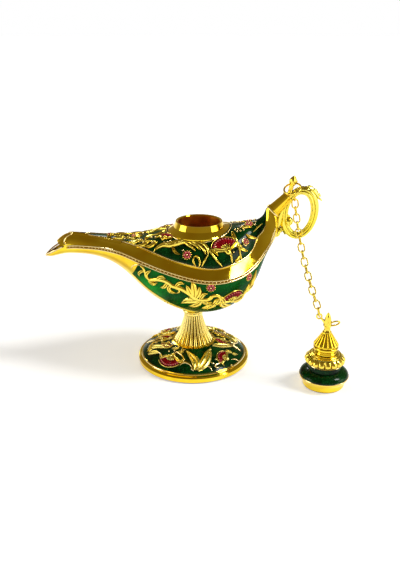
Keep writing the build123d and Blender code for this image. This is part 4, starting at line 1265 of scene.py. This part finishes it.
def makeEndTrim(look):
    shape = newShape()
    centre, axis, radius, size = look["ferrule"]
    addRing(shape, centre, axis, radius, size, 48, 8)
    for side in (-1, 1):
        lip = [(x, side * y, z) for x, y, z in look["lip"]]
        sweep(shape, lip, [look["lipSize"]] * len(lip), (0, 0, 1), roundSection(10), 5)
    wire(shape, fromAbove(hull), look["band"], *look["bandWire"])
    makePiece("endWires", shape, paintedHighlightGold)
    shape = newShape()
    # the lining's orange is painted glow of light bouncing in the bore
    lathe(shape, smoothLine(look["lining"], 3), collarCentre, 96)
    makePiece("collarLining", shape, insideGold)


makeEndTrim(endTrim)
print("tail, spout and collar trim made")


# Floor, light and camera

studio = {
    "floor": "#f4f3f1",
    "fibre": "#ffffff",
    "fibreSize": 40.0,  # mm, like the floor's size
    "floorSize": 9000.0,
    "floorLift": 0.46,  # light added to the paper where it is seen
    "liftTint": "#e8f0ff",  # evens out the warm light of the room in the shadow
    # azimuth, elevation, width and brightness of each round soft light, far away
    "lights": [(-5, 52, 16, 25.0), (101, 34, 9, 16.0), (-172, 17, 32, 3.4), (-12, 18, 32, 3.4)],
    "background": "#ffffff",
    "horizon": "#ffffff",
    "walls": "#988a6c",
    "ceiling": "#74653c",
    # sines of the elevations where the horizon ends, and where the walls and ceiling begin
    "band": (0.0, 0.12, 0.95),
}


def paperSweep(look):
    # matt white paper with a faint fibre tone, lifted for the rays that see it as the background
    material, tree, place = startMaterial("paperSweep")
    fibre = addNode(tree, "ShaderNodeTexNoise", {
        "Vector": place, "Scale": perMm(look["fibreSize"]), "Detail": 4})
    ends = {0: fibre.outputs[0], 6: srgb(look["floor"]), 7: srgb(look["fibre"])}
    colour = addNode(tree, "ShaderNodeMix", ends, data_type="RGBA").outputs[2]
    paper = addNode(tree, "ShaderNodeBsdfDiffuse", {"Color": colour})
    glow = addNode(tree, "ShaderNodeEmission", {
        "Color": srgb(look["liftTint"]), "Strength": look["floorLift"]})
    rays = addNode(tree, "ShaderNodeLightPath").outputs
    seen = addNode(tree, "ShaderNodeMath", {0: rays["Is Camera Ray"], 1: rays["Is Glossy Ray"]},
                   operation="ADD")
    seen = addNode(tree, "ShaderNodeMath", {0: seen.outputs[0], 1: rays["Is Transmission Ray"]},
                   operation="ADD", use_clamp=True)
    lit = addNode(tree, "ShaderNodeAddShader", {0: paper.outputs[0], 1: glow.outputs[0]})
    sheet = addNode(tree, "ShaderNodeMixShader", {
        0: seen.outputs[0], 1: paper.outputs[0], 2: lit.outputs[0]})
    finishMaterial(tree, sheet)
    return material


def makeFloor(look):
    half = look["floorSize"] / 2 * mm
    corners = [(-half, -half, 0), (half, -half, 0), (half, half, 0), (-half, half, 0)]
    mesh = bpy.data.meshes.new("floor")
    mesh.from_pydata(corners, [], [(0, 1, 2, 3)])
    mesh.materials.append(paperSweep(look))
    floor = bpy.data.objects.new("floor", mesh)
    bpy.context.scene.collection.objects.link(floor)


def makeLights(look):
    for number, (azimuth, elevation, width, brightness) in enumerate(look["lights"], 1):
        light = bpy.data.lights.new("softLight%d" % number, "SUN")
        light.angle = math.radians(width)
        light.energy = brightness * math.pi * math.sin(light.angle / 2) ** 2
        holder = bpy.data.objects.new("softLight%d" % number, light)
        holder.rotation_euler = (0, math.radians(90 - elevation), math.radians(azimuth))
        bpy.context.scene.collection.objects.link(holder)


def makeRoom(look):
    # a white band at the horizon under warm dim walls and ceiling; the camera sees white all round
    world = bpy.data.worlds.new("studioRoom")
    world.use_nodes = True
    bpy.context.scene.world = world
    tree = world.node_tree
    tree.nodes.clear()
    direction = addNode(tree, "ShaderNodeTexCoord").outputs["Generated"]
    height = addNode(tree, "ShaderNodeSeparateXYZ", {0: direction}).outputs[2]
    low, middle, high = look["band"]
    up = addNode(tree, "ShaderNodeMapRange", {"Value": height, "From Min": low, "From Max": middle},
                 interpolation_type="SMOOTHSTEP")
    top = addNode(tree, "ShaderNodeMapRange", {"Value": height, "From Min": middle, "From Max": high})
    seen = addNode(tree, "ShaderNodeLightPath")
    ends = {0: top.outputs[0], 6: srgb(look["walls"]), 7: srgb(look["ceiling"])}
    walls = addNode(tree, "ShaderNodeMix", ends, data_type="RGBA")
    ends = {0: up.outputs[0], 6: srgb(look["horizon"]), 7: walls.outputs[2]}
    room = addNode(tree, "ShaderNodeMix", ends, data_type="RGBA")
    ends = {0: seen.outputs["Is Camera Ray"], 6: room.outputs[2], 7: srgb(look["background"])}
    colour = addNode(tree, "ShaderNodeMix", ends, data_type="RGBA")
    glow = addNode(tree, "ShaderNodeBackground", {"Color": colour.outputs[2], "Strength": 1.0})
    addNode(tree, "ShaderNodeOutputWorld", {"Surface": glow.outputs[0]})


# metres, degrees from straight down, and mm of focal length
cameraLook = {"where": (0.00298, -0.2724, 0.1464), "pitch": 67.83, "lens": 42.2, "nearest": 0.01}


def makeCamera(look):
    data = bpy.data.cameras.new("camera")
    data.lens = look["lens"]
    data.clip_start = look["nearest"]
    camera = bpy.data.objects.new("camera", data)
    camera.location = look["where"]
    camera.rotation_euler = (math.radians(look["pitch"]), 0, 0)
    bpy.context.scene.collection.objects.link(camera)
    bpy.context.scene.camera = camera


bpy.context.scene.view_settings.view_transform = "Standard"
makeFloor(studio)
makeLights(studio)
makeRoom(studio)
makeCamera(cameraLook)
print("studio made")
